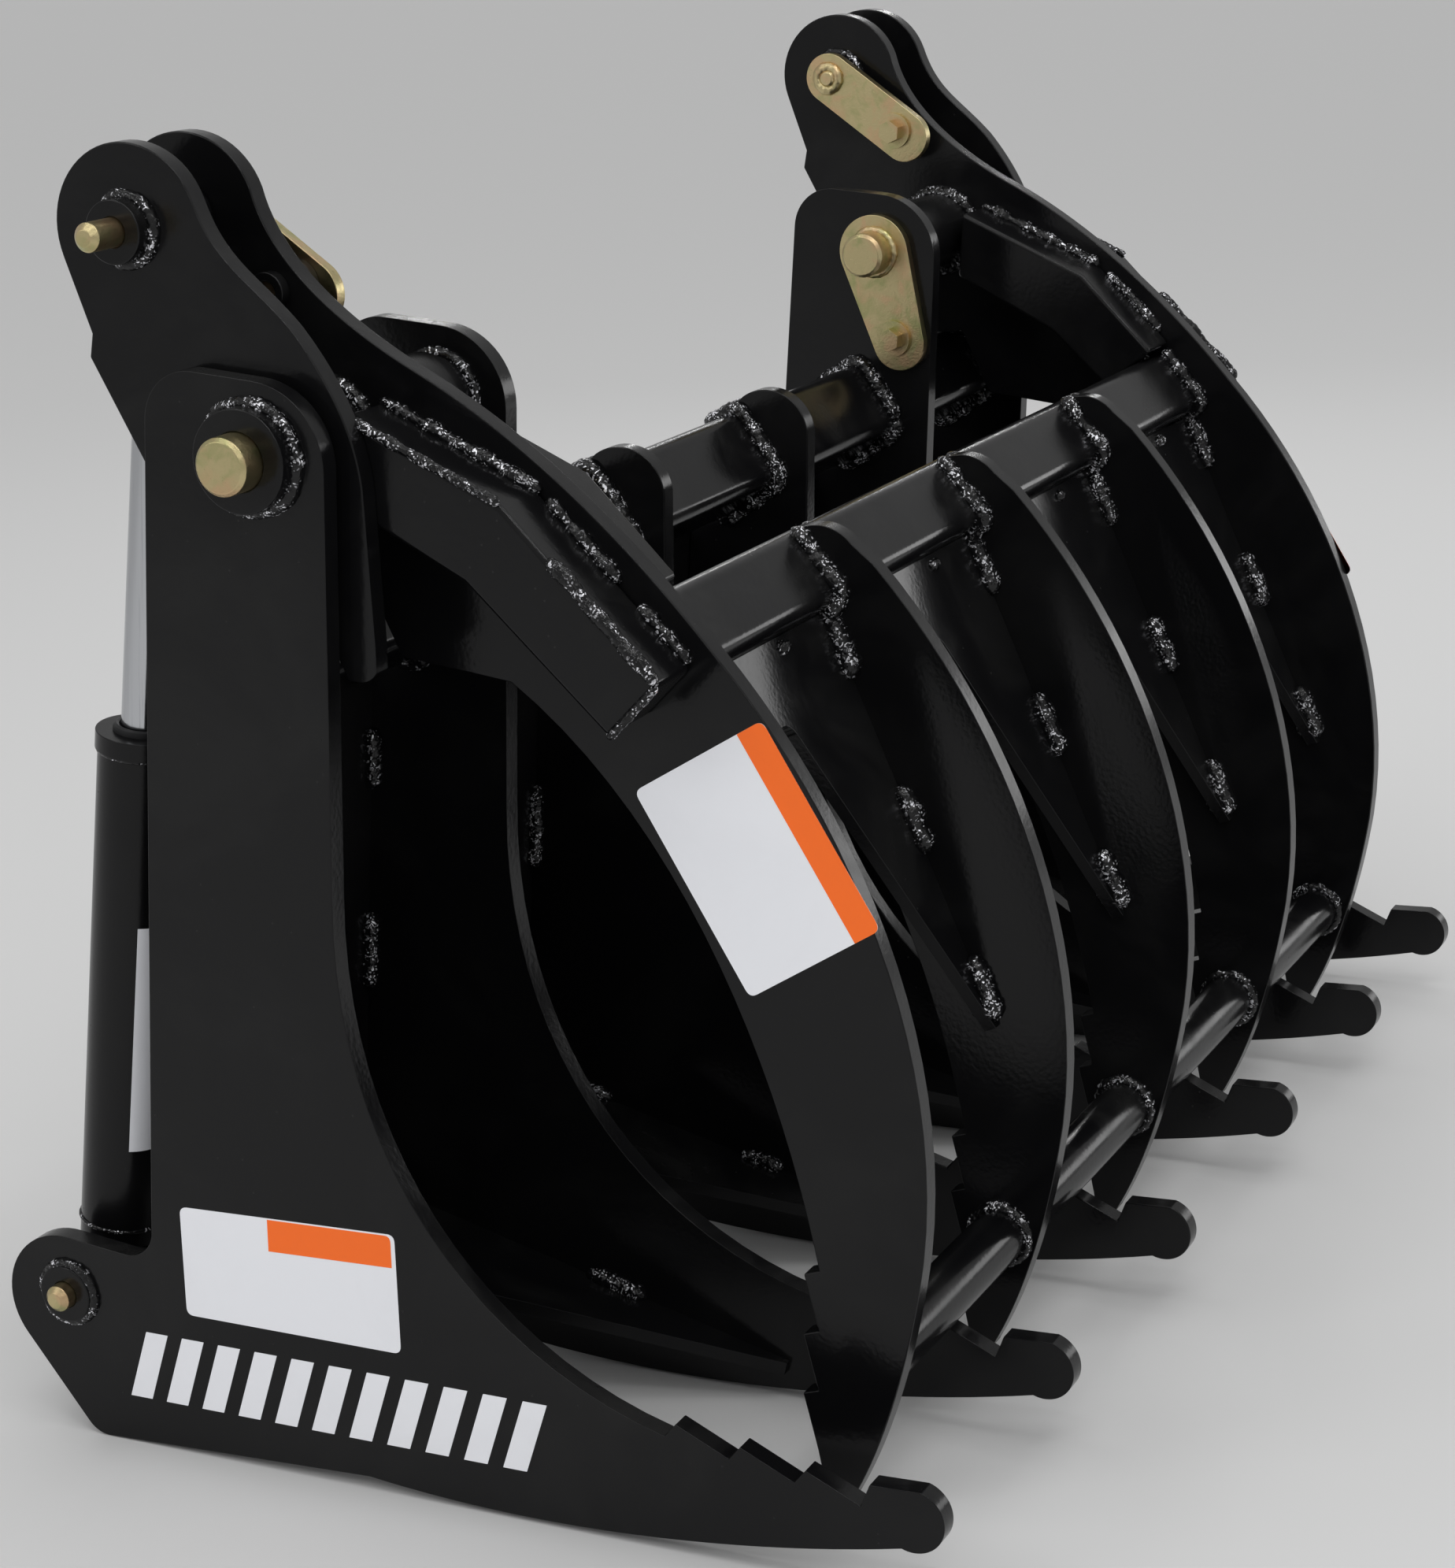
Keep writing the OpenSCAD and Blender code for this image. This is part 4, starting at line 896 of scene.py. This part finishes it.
def rounded_outline(corners, radii, steps=7):
    """Outline of a four-sided panel: at each corner a quadratic curve (1 - t)^2 a + 2 t (1 - t) c + t^2 b from
    the point a, one radius before the corner c, to the point b, one radius after it."""
    corners = np.asarray(corners, float)
    t = np.linspace(0, 1, steps)[:, None]
    before = np.roll(corners, 1, 0) - corners
    after = np.roll(corners, -1, 0) - corners
    rows = []
    for c, p, q, r in zip(corners, before, after, radii):
        a = c + r * p / np.linalg.norm(p)
        b = c + r * q / np.linalg.norm(q)
        rows.append((1 - t) ** 2 * a + 2 * t * (1 - t) * c + t ** 2 * b)
    return np.vstack(rows)


def panel(name, corners, x, facing, material, body, thick=FILM_T, radii=(0.0, 0.0, 0.0, 0.0)):
    """A thin plain panel on a plate's face: two fans over one rounded outline, a little apart, and the wall
    between them."""
    flat = rounded_outline(corners, np.maximum(radii, LEAST_SOFT))
    count = len(flat)
    flat = np.vstack([flat, flat.mean(0)])
    front = np.column_stack([np.full(count + 1, x + facing * thick), flat])
    back = np.column_stack([np.full(count + 1, x + facing * PLATE_GAP), flat])
    rim = np.arange(count)
    ahead = np.roll(rim, -1)
    fan = np.stack([rim, ahead, np.full(count, count)], 1)
    wall = np.stack([ahead, rim, rim + count + 1, ahead + count + 1], 1)
    triangles = np.vstack([fan, fan[:, ::-1] + count + 1])
    normal = np.cross(front[1] - front[0], front[count] - front[0])
    if normal[0] * facing < 0:
        triangles, wall = triangles[:, ::-1], wall[:, ::-1]
    return dressed(mesh_object(name, np.vstack([front, back]), wall, triangles), material, body, sharp=40)


def barrel_patch(name, side, material, body, count=24, rows=4):
    """A thin plain patch on a barrel: its front is the barrel's own cylinder grown by the patch's thickness,
    over an angle from straight outboard toward the front and a distance from the base pin. Its back lies on the
    barrel, and a wall joins their rims."""
    left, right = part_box("barrel_right")
    radius = (right.x - left.x) / 2
    angle = np.radians(np.linspace(*PATCH_TURN, count))[:, None]
    far = np.linspace(*PATCH_REACH, rows)[None, :]
    layers = []
    for r in (radius + FILM_T, radius + BARREL_GAP):
        x = side * (CYLINDER_X + r * np.cos(angle)) + 0 * far
        ahead = r * np.sin(angle) + 0 * far
        y = BASE_PIN[0] + far * LEAN[0] + ahead * LEAN[1]
        z = BASE_PIN[1] + far * LEAN[1] - ahead * LEAN[0]
        layers.append(np.stack([x, y, z], -1).reshape(-1, 3))
    front, back = layers
    index = np.arange(count * rows).reshape(count, rows)
    top = np.stack([index[:-1, :-1], index[1:, :-1], index[1:, 1:], index[:-1, 1:]], -1).reshape(-1, 4)
    rim = np.concatenate([index[:, 0], index[-1, 1:], index[::-1, -1][1:], index[0, ::-1][1:-1]])
    wall = np.stack([np.roll(rim, -1), rim, rim + count * rows, np.roll(rim, -1) + count * rows], -1)
    quads = np.vstack([top, top[:, ::-1] + count * rows, wall])
    normal = np.cross(front[top[0][1]] - front[top[0][0]], front[top[0][3]] - front[top[0][0]])
    if normal @ (front[0] - back[0]) < 0:
        quads = quads[:, ::-1]
    return dressed(mesh_object(name, np.vstack([front, back]), quads), material, body, sharp=40)


class GRAPPLE_OT_panels(bpy.types.Operator):
    """Plain panels and bars on the plates and the barrels"""

    bl_idname = "grapple.panels"
    bl_label = "Plain panels"

    def execute(self, context):
        finish = context.scene.grapple_finish
        if not finish.panels:
            return {"FINISHED"}
        white = film("White film", finish.white)
        amber = film("Amber film", finish.amber)
        way = (BAR_STOP - BAR_START) / BARS
        for label, s in SIDES:
            tine, side = (s * OUTER_OUT, s), (s * SIDE_OUT, s)
            panel(f"tine_panel_{label}", TINE_PANEL, *tine, white, "upper_jaw", radii=(SOFT,) * 4)
            panel(f"tine_band_{label}", TINE_BAND, *tine, amber, "upper_jaw", SECOND_FILM_T,
                  (SOFT, SOFT, 0.0, 0.0))
            panel(f"side_panel_{label}", SIDE_PANEL, *side, white, "lower_jaw", radii=(SOFT,) * 4)
            panel(f"side_block_{label}", SIDE_BLOCK, *side, amber, "lower_jaw", SECOND_FILM_T,
                  (0.0, 0.8 * SOFT, 0.0, 0.0))
            barrel_patch(f"barrel_patch_{label}", s, white, f"barrel_{label}")
            for i in range(BARS):
                first = BAR_START + i * way
                last = first + BAR_SHARE * way
                corners = (first + BAR_LEAN, last + BAR_LEAN, last + BAR_DROP, first + BAR_DROP)
                panel(f"side_bar_{i + 1}_{label}", corners, *side, white, "lower_jaw")
        return {"FINISHED"}


class GRAPPLE_OT_stage(bpy.types.Operator):
    """Floor, background, lamps and camera"""

    bl_idname = "grapple.stage"
    bl_label = "Studio"

    def floor(self, stage):
        """A wide plane under the lower jaw, which slopes as the jaw's underside does."""
        corners = FLOOR_REACH * np.array(((-1, -1), (1, -1), (1, 1), (-1, 1)))
        height = FLOOR_HEIGHT + FLOOR_SLOPE * (corners[:, 1] - FLOOR_DEPTH)
        ground = mesh_object("floor", np.column_stack([corners, height]), np.array([[0, 1, 2, 3]]))
        material, tree, shader, place = new_material("Pale floor")
        grain = noise(tree, place, 60.0, 4.0)["Fac"]
        surface(tree, shader, grain, 0.04, 0.001, Base_Color=(*stage.floor_colour, 1), Roughness=0.75,
                Specular_IOR_Level=0.2)
        ground.data.materials.append(material)

    def background(self, stage, scene):
        """An even white light, in whose place the camera, glossy and transmission rays see the backdrop."""
        world = bpy.data.worlds.new("Studio")
        scene.world = world
        world.use_nodes = True
        tree = world.node_tree
        lit = tree.nodes["Background"]
        lit.inputs["Color"].default_value = (1, 1, 1, 1)
        lit.inputs["Strength"].default_value = stage.fill
        seen = add_node(tree, "ShaderNodeBackground", Color=(*stage.backdrop, 1))
        path = add_node(tree, "ShaderNodeLightPath").outputs
        near = maths(tree, "ADD", path["Is Camera Ray"], path["Is Glossy Ray"])
        every = maths(tree, "ADD", near, path["Is Transmission Ray"], use_clamp=True)
        mix = add_node(tree, "ShaderNodeMixShader")
        for socket, value in zip(mix.inputs, (every, lit.outputs[0], seen.outputs[0])):
            feed(tree, socket, value)
        feed(tree, tree.nodes["World Output"].inputs["Surface"], mix.outputs[0])

    def lamps(self, stage, scene):
        """Area lamps that all face the jaw's middle: three wide ones, and narrow strips that draw the edges."""
        lamps = [("Overhead lamp", (0.4, 0.6, 3.0), (2.6, 1.6), stage.overhead),
                 ("Side lamp", (2.6, -1.6, 1.6), (0.9, 2.0), stage.side_lamp),
                 ("Front lamp", (-3.0, 2.2, 0.75), (1.9, 0.75), stage.front_lamp)]
        lamps += [(f"Strip lamp {i + 1}", place, STRIP_SIZE, stage.strips) for i, place in enumerate(STRIPS)]
        for name, place, size, power in lamps:
            data = bpy.data.lights.new(name, "AREA")
            data.shape = "RECTANGLE"
            data.size, data.size_y = size
            data.energy = power
            lamp = bpy.data.objects.new(name, data)
            scene.collection.objects.link(lamp)
            lamp.location = place
            lamp.rotation_euler = (LAMP_TARGET - Vector(place)).to_track_quat("-Z", "Y").to_euler()

    def camera(self, stage, scene):
        """The camera at the photograph's viewing angle, from its yaw, pitch and roll."""
        yaw, pitch, roll = (math.radians(angle) for angle in CAMERA_ANGLES)
        forward = Vector((math.cos(pitch) * math.cos(yaw), math.cos(pitch) * math.sin(yaw), math.sin(pitch)))
        right = forward.cross(Vector((0, 0, 1))).normalized()
        down = forward.cross(right)
        across = math.cos(roll) * right + math.sin(roll) * down
        below = -math.sin(roll) * right + math.cos(roll) * down
        data = bpy.data.cameras.new("Camera")
        data.sensor_width = 36.0
        data.lens = stage.lens
        camera = bpy.data.objects.new("Camera", data)
        scene.collection.objects.link(camera)
        turned = Matrix((across, -below, -forward)).transposed()
        camera.matrix_world = Matrix.Translation(CAMERA_PLACE) @ turned.to_4x4()
        scene.camera = camera

    def execute(self, context):
        stage, scene = context.scene.grapple_stage, context.scene
        scene.view_settings.view_transform = "Standard"
        self.floor(stage)
        self.background(stage, scene)
        self.lamps(stage, scene)
        self.camera(stage, scene)
        return {"FINISHED"}


class GRAPPLE_PT_finish(bpy.types.Panel):
    """The finish's sizes, colours and steps"""

    bl_idname = "GRAPPLE_PT_finish"
    bl_label = "Claw grapple"
    bl_space_type = "VIEW_3D"
    bl_region_type = "UI"
    bl_category = "Grapple"

    def draw(self, context):
        for group in (context.scene.grapple_finish, context.scene.grapple_stage):
            box = self.layout.box()
            for label in group.bl_rna.properties.keys():
                if label not in ("rna_type", "name"):
                    box.prop(group, label)
        for step in STEPS:
            self.layout.operator(step.bl_idname)


STEPS = (GRAPPLE_OT_stage, GRAPPLE_OT_plates, GRAPPLE_OT_pins, GRAPPLE_OT_cylinders, GRAPPLE_OT_lower_welds,
         GRAPPLE_OT_upper_welds, GRAPPLE_OT_panels)
CLASSES = (GrappleFinish, GrappleStage, *STEPS, GRAPPLE_PT_finish)


def register():
    for kind in CLASSES:
        bpy.utils.register_class(kind)
    bpy.types.Scene.grapple_finish = PointerProperty(type=GrappleFinish)
    bpy.types.Scene.grapple_stage = PointerProperty(type=GrappleStage)


def unregister():
    del bpy.types.Scene.grapple_stage
    del bpy.types.Scene.grapple_finish
    for kind in reversed(CLASSES):
        bpy.utils.unregister_class(kind)


def main():
    """Dresses the part step by step."""
    register()
    bpy.ops.grapple.stage()
    bpy.ops.grapple.plates()
    bpy.ops.grapple.pins()
    bpy.ops.grapple.cylinders()
    bpy.ops.grapple.lower_welds()
    bpy.ops.grapple.upper_welds()
    bpy.ops.grapple.panels()


if __name__ == "__main__":
    main()
